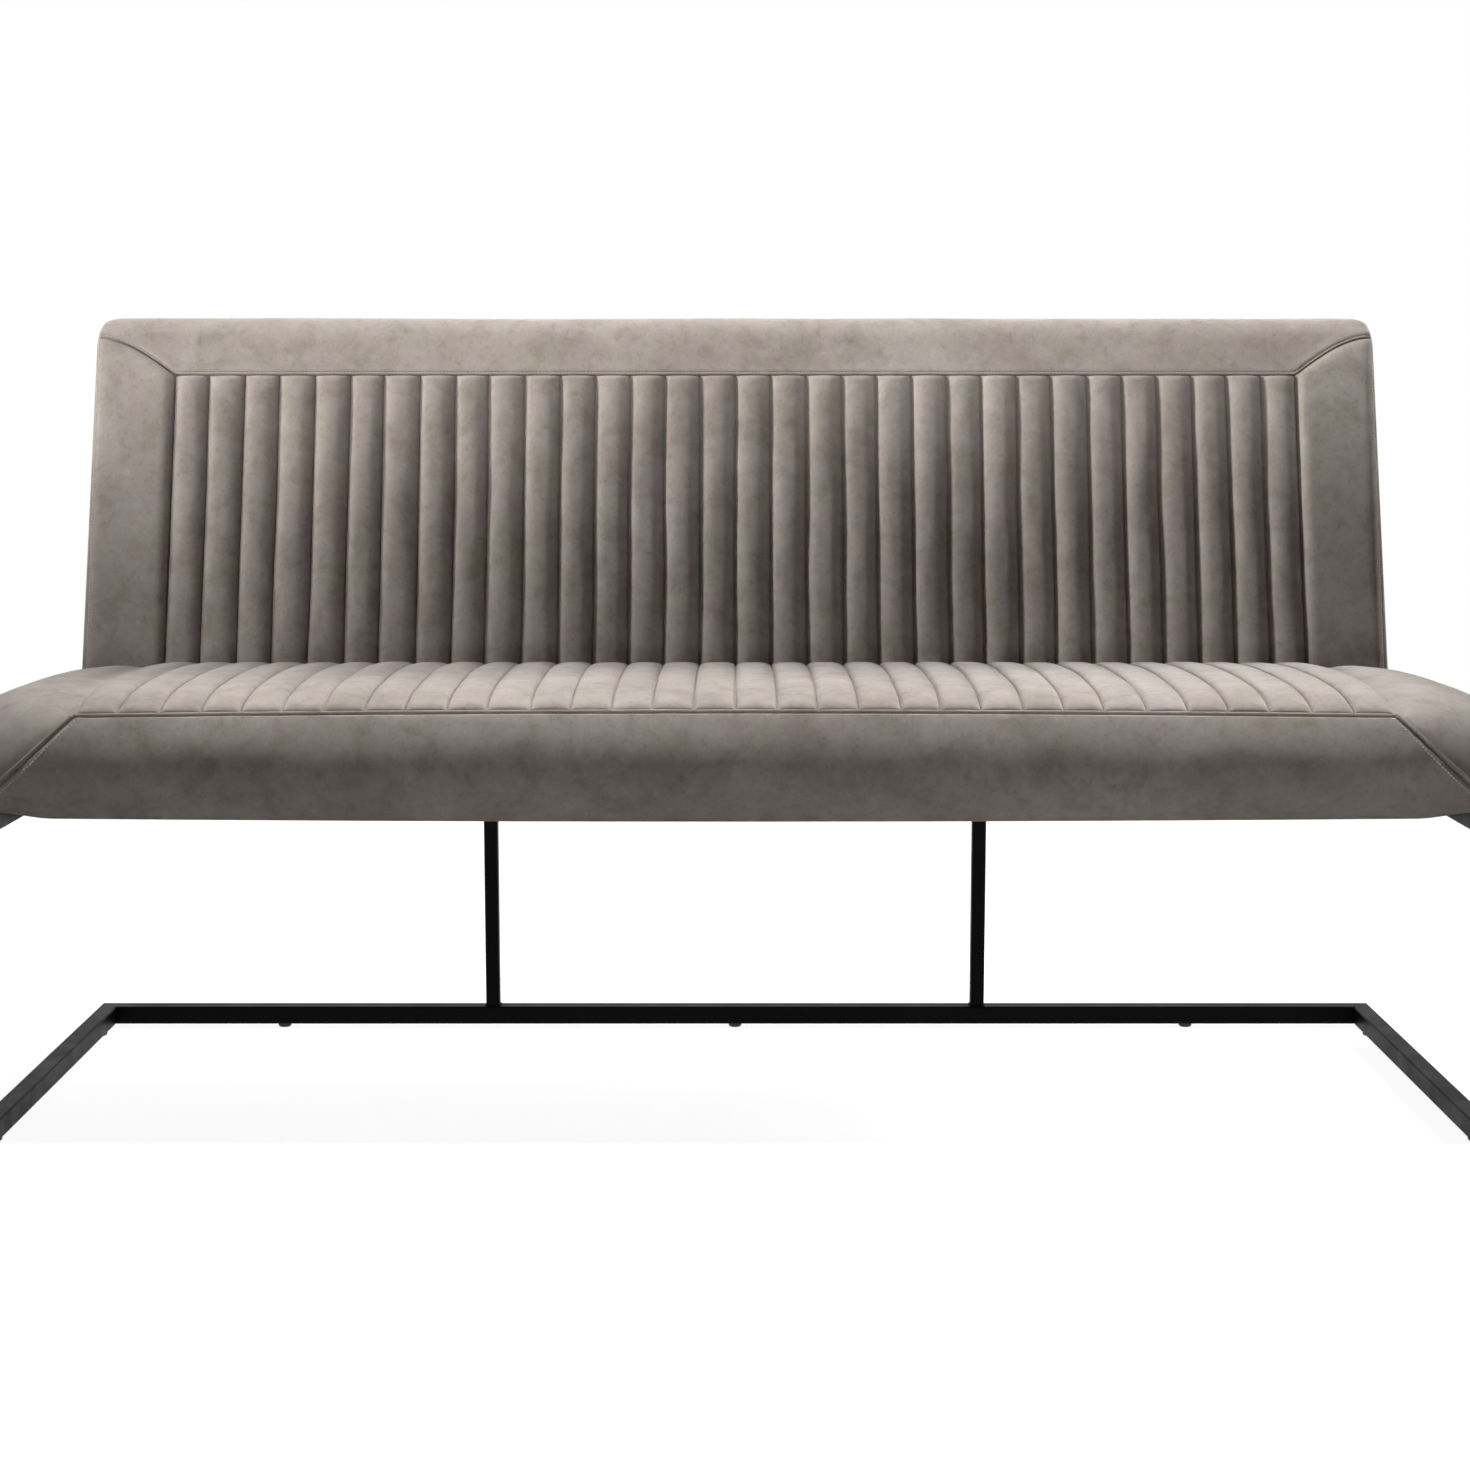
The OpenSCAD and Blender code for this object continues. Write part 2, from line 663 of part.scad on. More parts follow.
// Plain cover over the rear of the seat, against the backrest
module seat_rear_panel() {
    levels = [for (k = [len(side_shares) - 1:-1:0]) side_shares[k]];
    function row(v, back) = let (p = side_line(v, seat_rear_top))
        [for (s = [1, -1]) [s * (p[0] - gap), rear_y(p[1]) - back, p[1]]];
    color(suede_color) placed() pad(
        [for (v = levels) row(v, gap)],
        [for (v = levels) row(v, gap + rear_cover_t)]);
}

// Timber and board of the backrest, set along its rear lean. n is the depth in from
// the rear cover and w the height along the lean.
module along_rear(x, n, w) {
    translate([0, rear_line_y(back_base), back_base])
        rotate([-rear_lean, 0, 0])
        translate([x, -n, w])
        children();
}
module leaning_block(x0, x1, n0, n1, w0, w1) {
    along_rear(x0, n1, w0) cube([x1 - x0, n1 - n0, w1 - w0]);
}
module backrest_bottom_rail() {
    color(ply_color) placed() difference() {
        leaning_block(-board_half + timber_w + gap, board_half - timber_w - gap,
            rear_panel_t + gap, board_n - gap, timber_foot, timber_w);
        for (x = [-upright_x, upright_x])
            leaning_block(x - upright / 2 - gap, x + upright / 2 + gap,
                post_n - gap, board_n + over, -over, timber_w + over);
    }
}
module backrest_top_rail() {
    color(ply_color) placed()
        leaning_block(-board_half + timber_w + gap, board_half - timber_w - gap,
            rear_panel_t + gap, board_n - gap, timber_top - timber_w, timber_top);
}
module stile() {
    leaning_block(board_half - timber_w, board_half,
        rear_panel_t + gap, board_n - gap, timber_foot, timber_top);
}
module backrest_stile_right() { color(ply_color) placed() stile(); }
module backrest_stile_left() { color(ply_color) mirrored() placed() stile(); }

// Steel post inside the backrest, welded on the rear cross tube above the upright
module backrest_post() {
    difference() {
        intersection() {
            along_rear(upright_x, post_n + upright / 2, -2 * tube)
                square_tube(upright, post_len + 2 * tube);
            translate([0, 0, frame_h]) linear_extrude(overall_h)
                translate([0, -frame_d]) square([frame_w, 3 * frame_d]);
        }
        for (s = post_bolt_shares)
            along_rear(upright_x, -over, post_len * s)
                rotate([90, 0, 0]) cylinder(r = bolt_hole_r, h = board_n + 2 * over);
    }
}
module backrest_post_right() { color(steel_color) placed() backrest_post(); }
module backrest_post_left() { color(steel_color) mirrored() placed() backrest_post(); }
module backrest_board() {
    color(ply_color) placed() difference() {
        leaning_block(-board_half, board_half, board_n, board_front_n, timber_foot, timber_top);
        for (x = [-upright_x, upright_x], s = post_bolt_shares)
            along_rear(x, board_n - over, post_len * s)
                rotate([90, 0, 0]) cylinder(r = insert_r, h = back_insert_h + over + gap);
    }
}
module backrest_insert_nuts() {
    color(zinc_color) placed()
        for (x = [-upright_x, upright_x], s = post_bolt_shares)
            along_rear(x, board_n + gap, post_len * s)
                rotate([90, 0, 0]) insert_nut(back_insert_h - gap);
}
module backrest_bolts() {
    color(zinc_color) placed()
        for (x = [-upright_x, upright_x], s = post_bolt_shares)
            along_rear(x, post_n, post_len * s)
                rotate([90, 0, 0]) bolt(upright + back_insert_h);
}

// A closed solid through rings of points that lie one behind the other along +X
module loft(rings) {
    n = len(rings[0]);
    last = len(rings) - 1;
    function at(r, k) = r * n + k % n;
    polyhedron(
        points = [for (r = rings) each r],
        faces = [
            [for (k = [0:n - 1]) at(0, k)],
            for (r = [0:last - 1], k = [0:n - 1]) each [
                [at(r, k), at(r + 1, k), at(r + 1, k + 1)],
                [at(r, k), at(r + 1, k + 1), at(r, k + 1)]],
            [for (k = [n - 1:-1:0]) at(last, k)]],
        convexity = 4);
}

// Places across the backrest where its covers change
top_shares = [0.92, 0.95, 0.98, 1];
function back_places(half) = concat(
    [for (k = [len(top_shares) - 1:-1:0]) -top_shares[k] * half],
    [-panel_half, panel_half],
    [for (s = top_shares) s * half]);

// Backrest foam, in front of and over the board
module backrest_foam() {
    depth = cover_t + gap;
    low = from_rear(board_front_n + gap, gap);
    function ring(x) = concat(
        [[x, front_y(low[1]) + depth / cos(front_lean), low[1]]],
        [for (a = arc_angles()) around_top(x, a, depth)],
        [for (p = [
            from_rear(depth + gap, timber_top + gap),
            from_rear(board_front_n + gap, timber_top + gap),
            low]) [x, p[0], p[1]]]);
    color(foam_color) placed() loft([for (x = back_places(back_half - gap)) ring(x)]);
}

// Quilted front of the backrest: upright channels under the top seam
back_row_shares = [0, 0.5, 0.93, 0.985, 1];
back_rise_shares = [1, 1, 1, 0.75, 0.3];
module backrest_channel_panel() {
    ends = channels * channel_steps;
    function row_z(k) = mix(back_base, top_seam_h - gap / 2, back_row_shares[k]);
    function outer_row(k) = [for (c = [0:ends])
        on_front(panel_x(c, channel_steps),
            row_z(k), back_channel_h * back_rise_shares[k] * channel_rise(c % channel_steps))];
    function inner_row(k) = [for (c = [0:channels])
        on_front(panel_x(c, 1), row_z(k), -cover_t)];
    function settle(row) = [for (p = row) [p[0], p[1], max(p[2], back_base)]];
    color(suede_color) placed() pad(
        [for (k = [0:len(back_row_shares) - 1]) outer_row(k)],
        [for (k = [0:len(back_row_shares) - 1]) settle(inner_row(k))],
        channel_steps);
}

// Plain border up the side of the backrest, to the mitre seam
border_shares = [0, 0.2, 0.5, 0.8, 1];
border_row_shares = [0, 0.5, 1];
module backrest_side() {
    function point(b, a, out) = let (
        x = mix(panel_half + gap / 2, back_half - gap / 2, a),
        z = mix(back_base, top_start_z(x) - gap / 2, b),
        p = on_front(x, z, out < 0 ? out : out * sin(180 * a)))
        [p[0], p[1], max(p[2], back_base)];
    color(suede_color) placed() pad(
        [for (b = border_row_shares) [for (a = border_shares) point(b, a, border_swell)]],
        [for (b = border_row_shares) [for (a = border_shares) point(b, a, -cover_t)]]);
}
module backrest_side_border_right() { backrest_side(); }
module backrest_side_border_left() { mirrored() backrest_side(); }

// Plain border along the top, from the top seam over the edge to the rear seam
module backrest_top_border() {
    xs = back_places(back_half - gap / 2);
    function start(x, depth) = on_front(x, top_start_z(x) + gap / 2, -depth);
    function rows(depth) = [
        [for (x = xs) start(x, depth)],
        for (a = arc_angles()) [for (x = xs) around_top(x, a, depth)]];
    color(suede_color) placed() pad(rows(0), rows(cover_t));
}

// Bulging panel over the end of the backrest
end_mid_z = (back_base + mitre_z) / 2;
end_rings = [[0, 1], [0.55, 0.98], [0.85, 0.93], [1, 0.8]];
function end_outline() = concat(
    [[front_y(back_base), back_base], [front_y(end_mid_z), end_mid_z]],
    [for (a = arc_angles()) let (p = around_top(back_half, a, 0)) [p[1], p[2]]],
    [[rear_line_y(end_mid_z), end_mid_z], [rear_line_y(back_base), back_base]]);
function end_middle(p) = let (z = max(back_base + arc_r, min(p[1], arc_z)))
    [(front_y(z) + rear_line_y(z)) / 2, z];
module backrest_end() {
    outline = end_outline();
    function ring(r) = [for (p = outline)
        let (m = end_middle(p), q = m + (p - m) * r[1])
        [back_half + gap / 2 + end_bulge * r[0], q[0], p[1] <= back_base ? p[1] : q[1]]];
    color(suede_color) placed() loft([for (r = end_rings) ring(r)]);
}
module backrest_end_panel_right() { backrest_end(); }
module backrest_end_panel_left() { mirrored() backrest_end(); }

// Plain rear of the backrest, from the base to the seam behind its top
module backrest_rear_panel() {
    end_a = 180 + rear_lean;
    function low(depth) = [for (x = back_places(back_half - gap))
        [-x, rear_line_y(back_base) - depth / cos(rear_lean), back_base]];
    function high(depth) = [for (x = back_places(back_half - gap))
        around_top(-x, end_a, depth) - [0, gap * sin(rear_lean), gap]];
    color(suede_color) placed() pad(
        [low(0), high(0)],
        [low(rear_panel_t), high(rear_panel_t)]);
}

// Thin black cloth under the backrest
module backrest_dust_cover() {
    color(dust_color) placed() difference() {
        translate([-back_half + gap, front_y(back_base) + cover_t, frame_h])
            cube([2 * (back_half - gap), frame_d - front_y(back_base) - 2 * cover_t, dust_t]);
        for (x = [-upright_x, upright_x])
            translate([x - upright / 2 - gap, frame_d - 2 * tube - over, frame_h - over])
                cube([upright + 2 * gap, 2 * tube + 2 * over, 2 * over]);
    }
}

floor_back_tube();
floor_side_tube_left();
floor_side_tube_right();
front_leg_left();
front_leg_right();
seat_rail_left();
seat_rail_right();
front_cross_tube();
middle_cross_tube();
rear_cross_tube();
rear_upright_left();
rear_upright_right();
floor_glides();
seat_dust_cover();
seat_board();
seat_insert_nuts();
seat_bolts();
seat_foam();
seat_channel_panel();
seat_front_border();
seat_side_border_left();
seat_side_border_right();
seat_rear_panel();
backrest_post_left();
backrest_post_right();
backrest_bottom_rail();
backrest_top_rail();
backrest_stile_left();
backrest_stile_right();
backrest_board();
backrest_insert_nuts();
backrest_bolts();
backrest_foam();
backrest_channel_panel();
backrest_top_border();
backrest_side_border_left();
backrest_side_border_right();
backrest_end_panel_left();
backrest_end_panel_right();
backrest_rear_panel();
backrest_dust_cover();
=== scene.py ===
# Dressed model of a long upholstered dining bench on a frame of square steel tube. Lengths are in
# metres. The covers are worked out from the seat's front plane, as the part's source does it, and
# `placed` moves them into the row frame. +X is right in the photograph, +Y is to the rear, +Z is up.
import math

import bmesh
import bpy
import numpy as np
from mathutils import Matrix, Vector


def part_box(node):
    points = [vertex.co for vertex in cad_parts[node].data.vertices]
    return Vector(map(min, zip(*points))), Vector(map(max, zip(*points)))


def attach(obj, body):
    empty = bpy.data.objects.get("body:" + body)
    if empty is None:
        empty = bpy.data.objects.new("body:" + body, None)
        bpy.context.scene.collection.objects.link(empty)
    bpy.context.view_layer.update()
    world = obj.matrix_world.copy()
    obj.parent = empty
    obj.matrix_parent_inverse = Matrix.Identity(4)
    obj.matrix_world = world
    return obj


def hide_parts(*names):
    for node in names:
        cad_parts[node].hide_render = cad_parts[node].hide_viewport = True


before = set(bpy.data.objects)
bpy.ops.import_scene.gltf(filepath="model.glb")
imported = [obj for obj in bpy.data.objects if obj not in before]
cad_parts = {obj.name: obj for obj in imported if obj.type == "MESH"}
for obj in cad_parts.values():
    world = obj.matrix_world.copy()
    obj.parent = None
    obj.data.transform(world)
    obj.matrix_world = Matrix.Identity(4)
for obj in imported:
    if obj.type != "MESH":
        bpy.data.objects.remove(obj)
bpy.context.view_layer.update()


def low(node, axis):
    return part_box(node)[0][axis]


def high(node, axis):
    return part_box(node)[1][axis]


# Steel frame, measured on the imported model
FRAME_HALF = high("floor_side_tube_right", 0)
TUBE_BASE = low("floor_side_tube_right", 2)
TUBE = high("floor_side_tube_right", 2) - TUBE_BASE
RAIL_TOP = high("seat_rail_right", 2)
FRAME_REAR = high("floor_back_tube", 1)
UPRIGHT_X = (low("rear_upright_right", 0) + high("rear_upright_right", 0)) / 2

# Seat
FRAME_D = 0.527
FRONT_Y = FRAME_REAR - FRAME_D
GAP = 0.0003
CHANNELS = 32
PANEL_HALF = high("seat_channel_panel", 0) + GAP / 2
SEAT_HALF = high("seat_side_border_right", 0)
SEAT_H = high("seat_channel_panel", 2)
SEAT_CHANNEL_H = 0.005
SOFT_CROWN_DROP = 0.0093
SEAM_TOP = SEAT_H - SEAT_CHANNEL_H - SOFT_CROWN_DROP
SEAT_BASE = RAIL_TOP + GAP
FRONT_BULGE = 0.022
BULGE_H = 0.054
BULGE_Z = RAIL_TOP + BULGE_H
CROWN_DROP = 0.025 - SOFT_CROWN_DROP
CROWN_D = 0.212
REAR_DROP = 0.010
FRONT_ARCH = 0.0047
END_SLOPE = 0.0108
SOFT_DROP_SHARE = 0.12
SEAM_Z = SEAM_TOP - CROWN_DROP
SHOULDER_Z = BULGE_Z + BULGE_H * 0.37
BORDER_W = FRAME_HALF - PANEL_HALF
ROUNDNESS = 0.44
SHOULDER_SHARE = 0.6
SIDE_TUCK = 0.020
CORNER_R = 2 * TUBE
CORNER_Y = CROWN_D / 2
LIP_HANG = 0.0095
LIP_RUN = 2.6 * TUBE
LIP_FLAT_SHARE = 0.35
INNER_HALF = FRAME_HALF - TUBE

# Backrest
FRONT_LEAN = math.radians(17)
REAR_LEAN = math.radians(10.9)
LEAN_RUN = math.tan(FRONT_LEAN)
REAR_RUN = math.tan(REAR_LEAN)
BACK_CHANNEL_H = 0.009
OVERALL_H = high("backrest_top_border", 2)
BACK_BASE = RAIL_TOP + 0.001
TOP_SEAM_H = OVERALL_H - 0.0685
BACK_Y = FRAME_D + (SEAT_H - RAIL_TOP) * REAR_RUN - 0.1112
SEAT_REAR_TOP = BACK_Y - BACK_CHANNEL_H - 2 * GAP
BACK_HALF = FRAME_HALF - 0.0130
END_BULGE = (0.0085, 0.0022)
END_TAPER = (0.0045, 0.0015)
CORNER_RUN = 0.024
CORNER_FALL = 0.0085
DROOP_RUN = 0.070
DROOP_FALL = 0.0015


def front_y(z):
    return BACK_Y + (z - SEAT_H) * LEAN_RUN


def rear_line_y(z):
    return FRAME_D + (z - RAIL_TOP) * REAR_RUN


def rear_y(z):
    return SEAT_REAR_TOP + (z - SEAT_H) * LEAN_RUN


ARC_R = (rear_line_y(OVERALL_H) - front_y(OVERALL_H)) / (
    1 / math.cos(FRONT_LEAN) + 1 / math.cos(REAR_LEAN) + REAR_RUN - LEAN_RUN)
ARC_Z = OVERALL_H - ARC_R
ARC_Y = front_y(ARC_Z) + ARC_R / math.cos(FRONT_LEAN)
MITRE_Z = ARC_Z + ARC_R * math.sin(FRONT_LEAN)
END_DROOP = CORNER_FALL + DROOP_FALL
TOP_FLAT = (MITRE_Z - TOP_SEAM_H) / math.cos(FRONT_LEAN)
MITRE_CLIMB = 0.0120
SIDE_SEAM_SINK = 0.0020

# Sewing
STITCH_SET_BACK = 0.0030
STITCH_PITCH = 0.0042
STITCH_LENGTH = 0.0031
STITCH_R = 0.00072
BAND = 0.0050
COVER_DEPTH = 0.008
SEAT_DEPTH = 0.0025
SIM_STEPS = 18


# Small helpers
def mix(a, b, t):
    return a + (b - a) * t


def smooth(t):
    t = np.clip(t, 0, 1)
    return t * t * (3 - 2 * t)


def wander(seed, places, spacing):
    """Smooth seeded noise between -1 and 1 along a line."""
    p = np.asarray(places) / spacing
    first = int(np.floor(p.min()))
    knots = np.random.default_rng(seed).uniform(-1, 1, int(np.ceil(p.max())) - first + 2)
    k = np.floor(p).astype(int)
    t = smooth(p - k)
    return mix(knots[k - first], knots[k - first + 1], t)


def stepped(marks, stop, pitch):
    """The given marks, then even steps of about `pitch` up to `stop`."""
    rest = stop - marks[-1]
    return np.concatenate([marks, np.linspace(marks[-1], stop, max(2, round(rest / pitch)) + 1)[1:]])


def normals_of(points):
    """Unit normals of a grid of points, along the columns crossed with along the rows."""
    n = np.cross(np.gradient(points, axis=1), np.gradient(points, axis=0))
    return n / np.maximum(np.linalg.norm(n, axis=2, keepdims=True), 1e-12)


def resampled(field, rows, cols, new_rows, new_cols):
    """A field on one grid of places read on another, then eased a little."""
    across = np.stack([np.interp(new_cols, cols, line) for line in field])
    out = np.stack([np.interp(new_rows, rows, line) for line in across.T], axis=1)
    for axis in (0, 1):
        ahead, behind = np.roll(out, -1, axis), np.roll(out, 1, axis)
        eased = (ahead + behind + 2 * out) / 4
        inside = [slice(None), slice(None)]
        inside[axis] = slice(1, -1)
        out[tuple(inside)] = eased[tuple(inside)]
    return out


def unit(v):
    return v / np.linalg.norm(v, axis=-1, keepdims=True)


def raised(points, height):
    """A grid of points moved out along its normals."""
    return points + np.asarray(height)[..., None] * normals_of(points)


def placed(points):
    """Points in lengths from the seat's front plane, moved into the row frame."""
    out = np.array(points, dtype=float)
    out[..., 1] += FRONT_Y
    return out


def linked(name, data):
    """An object for a mesh, lamp or camera, linked into the scene."""
    obj = bpy.data.objects.new(name, data)
    bpy.context.collection.objects.link(obj)
    return obj


def mesh_object(name, points, faces):
    mesh = bpy.data.meshes.new(name)
    mesh.from_pydata(np.reshape(points, (-1, 3)).tolist(), [], faces)
    return linked(name, mesh)


def quads(at):
    """Faces between the neighbours in a grid of vertex numbers."""
    return np.stack([at[:-1, :-1], at[:-1, 1:], at[1:, 1:], at[1:, :-1]], axis=-1).reshape(-1, 4).tolist()


# Cloth simulation
CLOTHS = {}


def lay_cloth(name, points, held, pressure, slack):
    """Puts a grid of points under Blender's cloth, held where `held` is true."""
    obj = mesh_object(name + "_cloth", points, quads(np.arange(held.size).reshape(held.shape)))
    group = obj.vertex_groups.new(name="held")
    group.add(np.flatnonzero(held).tolist(), 1.0, "REPLACE")
    cloth = obj.modifiers.new("cloth", "CLOTH")
    cloth.point_cache.frame_start = 1
    cloth.point_cache.frame_end = SIM_STEPS
    settings = cloth.settings
    settings.quality = 5
    settings.mass = 0.3
    settings.tension_stiffness = settings.compression_stiffness = 15
    settings.shear_stiffness = 5
    settings.bending_stiffness = 0.8
    settings.use_pressure = True
    settings.uniform_pressure_force = pressure
    settings.shrink_min = -slack
    settings.vertex_group_mass = "held"
    settings.effector_weights.gravity = 0
    CLOTHS[name] = (obj, points)


def settle_cloths():
    """Steps all the cloths together and keeps how far each point moved along its normal."""
    scene = bpy.context.scene
    for step in range(1, SIM_STEPS + 1):
        scene.frame_set(step)
    depsgraph = bpy.context.evaluated_depsgraph_get()
    moved = {}
    for name, (obj, points) in CLOTHS.items():
        settled = obj.evaluated_get(depsgraph).to_mesh()
        flat = np.empty(len(settled.vertices) * 3)
        settled.vertices.foreach_get("co", flat)
        moved[name] = ((flat.reshape(points.shape) - points) * normals_of(points)).sum(axis=2)
    for obj, _ in CLOTHS.values():
        mesh = obj.data
        bpy.data.objects.remove(obj)
        bpy.data.meshes.remove(mesh)
    scene.frame_set(1)
    return moved


# Closed meshes
def new_piece(name, points, faces, slot, nodes=(), sharp=50, material=None):
    """A mesh object that rides on the one body, with its normals turned outward."""
    obj = mesh_object(name, points, faces)
    mesh = obj.data
    shell = bmesh.new()
    shell.from_mesh(mesh)
    bmesh.ops.recalc_face_normals(shell, faces=shell.faces)
    shell.to_mesh(mesh)
    shell.free()
    mesh.shade_smooth()
    mesh.set_sharp_from_angle(angle=math.radians(sharp))
    mesh.materials.append(material or SLOT_MATERIALS[slot])
    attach(obj, "root")
    if nodes:
        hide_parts(*nodes)
    return obj


def every(count, step):
    """Indices 0 to count - 1 in steps, always with the last one."""
    return np.unique(np.append(np.arange(0, count, step), count - 1))


def cover(name, skin, lining, steps, nodes, slot="plain_suede"):
    """A closed cover between an outer grid and an inner one that is coarser by the given steps."""
    rows_in, cols_in = (every(count, step) for count, step in zip(skin.shape, steps))
    lining = lining[np.ix_(rows_in, cols_in)]
    at = np.arange(skin[..., 0].size).reshape(skin.shape[:2])
    under = at.size + np.arange(lining[..., 0].size).reshape(lining.shape[:2])
    faces = quads(at) + quads(under.T)
    edges = [(at[0], under[0], cols_in), (at[-1], under[-1], cols_in),
             (at[:, 0], under[:, 0], rows_in), (at[:, -1], under[:, -1], rows_in)]
    for outer, inner, marks in edges:
        for k in range(len(marks) - 1):
            faces.append(outer[marks[k]:marks[k + 1] + 1].tolist() + inner[[k + 1, k]].tolist())
    points = np.concatenate([skin.reshape(-1, 3), lining.reshape(-1, 3)])
    obj = new_piece(name, placed(points), faces, slot, nodes)


def cover_pair(name, skin, lining, steps, node):
    """A cover on the right and its mirror image on the left."""
    cover(name + "_right", skin, lining, steps, [node + "_right"])
    skin, lining = ((grid * [-1, 1, 1])[:, ::-1] for grid in (skin, lining))
    cover(name + "_left", skin, lining, steps, [node + "_left"])


# Profiles of seams
def full_round(share, flatness, fullness):
    """A stuffed channel's section: flat in the middle, steep beside its two seams."""
    return np.clip(1 - np.abs(2 * share - 1) ** flatness, 0, 1) ** fullness


def edge_rise(distance, run):
    """Rises from 0 at an edge to 1 at `run` and beyond, as a quarter round."""
    return np.sqrt(1 - (1 - np.clip(distance / run, 0, 1)) ** 2)


def groove(distance, depth=0.0022, width=0.0025):
    return -depth * np.exp(-(distance / width) ** 2)


def stitched_edge(distance):
    """A folded edge that is topstitched a little way back from its seam."""
    fold = 0.0022 * np.sqrt(np.clip(distance / 0.0012, 0, 1)) + groove(distance, 0.0026, 0.0006)
    dent = groove(distance - STITCH_SET_BACK, 0.0022, 0.0009)
    return fold * (1 - smooth((distance - 0.0045) / 0.012)) + dent


def lapped_edge(distance):
    """A fold lapped over its neighbour out to -BAND and sewn down through a furrow at 0."""
    u = np.clip((distance + BAND) / BAND, 0, 1)
    fold = 0.0017 * edge_rise(u, 0.28) - 0.0016 * (1 - smooth(u / 0.05))
    beyond = 0.0012 * (1 - smooth(distance / 0.02))
    return np.where(distance < 0, fold, beyond) + groove(distance, 0.0042, 0.0013)


# Materials
class Nodes:
    """Short calls for building a node tree."""

    def __init__(self, tree):
        self.nodes = tree.nodes
        self.links = tree.links

    def feed(self, socket, value):
        """Links another node's output to a socket, or writes a value into it."""
        if isinstance(value, bpy.types.NodeSocket):
            self.links.new(value, socket)
        else:
            socket.default_value = value

    def node(self, kind, *values, **named):
        """A new node with its first inputs and its named inputs fed."""
        node = self.nodes.new("ShaderNode" + kind)
        for socket, value in zip(node.inputs, values):
            self.feed(socket, value)
        for key, value in named.items():
            self.feed(node.inputs[key.replace("_", " ")], value)
        return node

    def between(self, value, low_in, high_in, low_out, high_out):
        return self.node("MapRange", Value=value, From_Min=low_in, From_Max=high_in, To_Min=low_out,
                         To_Max=high_out).outputs["Result"]

    def unlit_ray(self):
        """1 for camera, glossy and transmission rays, and 0 for the rays that light the object."""
        path = self.node("LightPath")
        seen = path.outputs["Is Camera Ray"]
        for key in ("Is Glossy Ray", "Is Transmission Ray"):
            either = self.node("Math", seen, path.outputs[key])
            either.operation = "MAXIMUM"
            seen = either.outputs[0]
        return seen


class Shader(Nodes):
    """A material and short calls for its nodes."""

    def __init__(self, name):
        self.material = bpy.data.materials.new(name)
        self.material.use_nodes = True
        super().__init__(self.material.node_tree)
        self.surface = self.nodes["Principled BSDF"]
        self.place = self.node("TexCoord").outputs["Object"]

    def scaled(self, *scale):
        return self.node("Mapping", Vector=self.place, Scale=scale).outputs["Vector"]

    def noise(self, scale, detail=3, roughness=0.5, distortion=0, vector=None):
        return self.node("TexNoise", Vector=vector or self.place, Scale=scale, Detail=detail,
                         Roughness=roughness, Distortion=distortion).outputs["Fac"]

    def ramp(self, value, *stops):
        """A colour ramp whose stops are a place and a linear colour, or one grey."""
        node = self.node("ValToRGB", value)
        elements = node.color_ramp.elements
        while len(elements) < len(stops):
            elements.new(0.5)
        for element, (place, *colour) in zip(elements, stops):
            element.position = place
            element.color = (*(colour * 3)[:3], 1)
        return node.outputs["Color"]

    def tones(self, value, *stops):
        """A colour ramp whose stops are a place and a display colour of 0 to 255."""
        return self.ramp(value, *((place, *map(linear, colour)) for place, *colour in stops))

    def times(self, a, b, factor=1.0):
        """Colour a multiplied by b, as far as the factor says."""
        node = self.nodes.new("ShaderNodeMix")
        node.data_type = "RGBA"
        node.blend_type = "MULTIPLY"
        sockets = [s for s in node.inputs if s.enabled]
        for socket, value in zip(sockets, (factor, a, b)):
            self.feed(socket, value)
        return [s for s in node.outputs if s.enabled][0]

    def bump(self, height, distance, strength, **under):
        return self.node("Bump", Strength=strength, Distance=distance, Height=height,
                         **under).outputs["Normal"]

    def finished(self, **inputs):
        """The material, with these inputs of its surface fed."""
        for key, value in inputs.items():
            self.feed(self.surface.inputs[key.replace("_", " ")], value)
        return self.material


def linear(level):
    """A display level of 0 to 255 as a linear value."""
    c = level / 255
    return c / 12.92 if c <= 0.04045 else ((c + 0.055) / 1.055) ** 2.4


def suede():
    """Taupe microfibre with a short brushed nap: patches lie the other way, warmer or cooler."""
    s = Shader("suede")
    clouds = s.noise(8, detail=4, roughness=0.55, distortion=0.6)
    tone = s.tones(clouds, (0.30, 149, 140, 133), (0.50, 160, 151, 144), (0.70, 168, 160, 153))
    tints = s.ramp(s.noise(21, detail=4, roughness=0.6, distortion=0.5),
                   (0.36, 0.93, 0.93, 0.875), (0.48, 1), (0.60, 0.985, 0.955, 0.96))
    patches = s.ramp(s.noise(30, detail=7, roughness=0.66, distortion=0.4),
                     (0.34, 0.83, 0.82, 0.80), (0.50, 1), (0.66, 1.07))
    marks = s.ramp(s.noise(105, detail=6, roughness=0.74, distortion=0.4),
                   (0.33, 0.82, 0.81, 0.80), (0.46, 1), (0.58, 1), (0.70, 1.16))
    fibres = s.ramp(s.noise(330, detail=4, roughness=0.75, vector=s.scaled(1, 1, 0.5)),
                    (0.32, 0.92), (0.5, 1), (0.64, 1), (0.74, 1.32))
    for layer in (tints, patches, marks, fibres):
        tone = s.times(tone, layer)
    nap = s.bump(s.noise(1300, detail=2, roughness=0.7), 0.0002, 0.5)
    crush = s.bump(s.noise(45, detail=4, roughness=0.6), 0.0005, 0.3, Normal=nap)
    return s.finished(
        Base_Color=tone, Roughness=s.between(clouds, 0.3, 0.7, 0.95, 0.85), Normal=crush,
        Sheen_Weight=0.30, Sheen_Roughness=0.5, Sheen_Tint=(0.95, 0.92, 0.9, 1), Specular_IOR_Level=0.12)


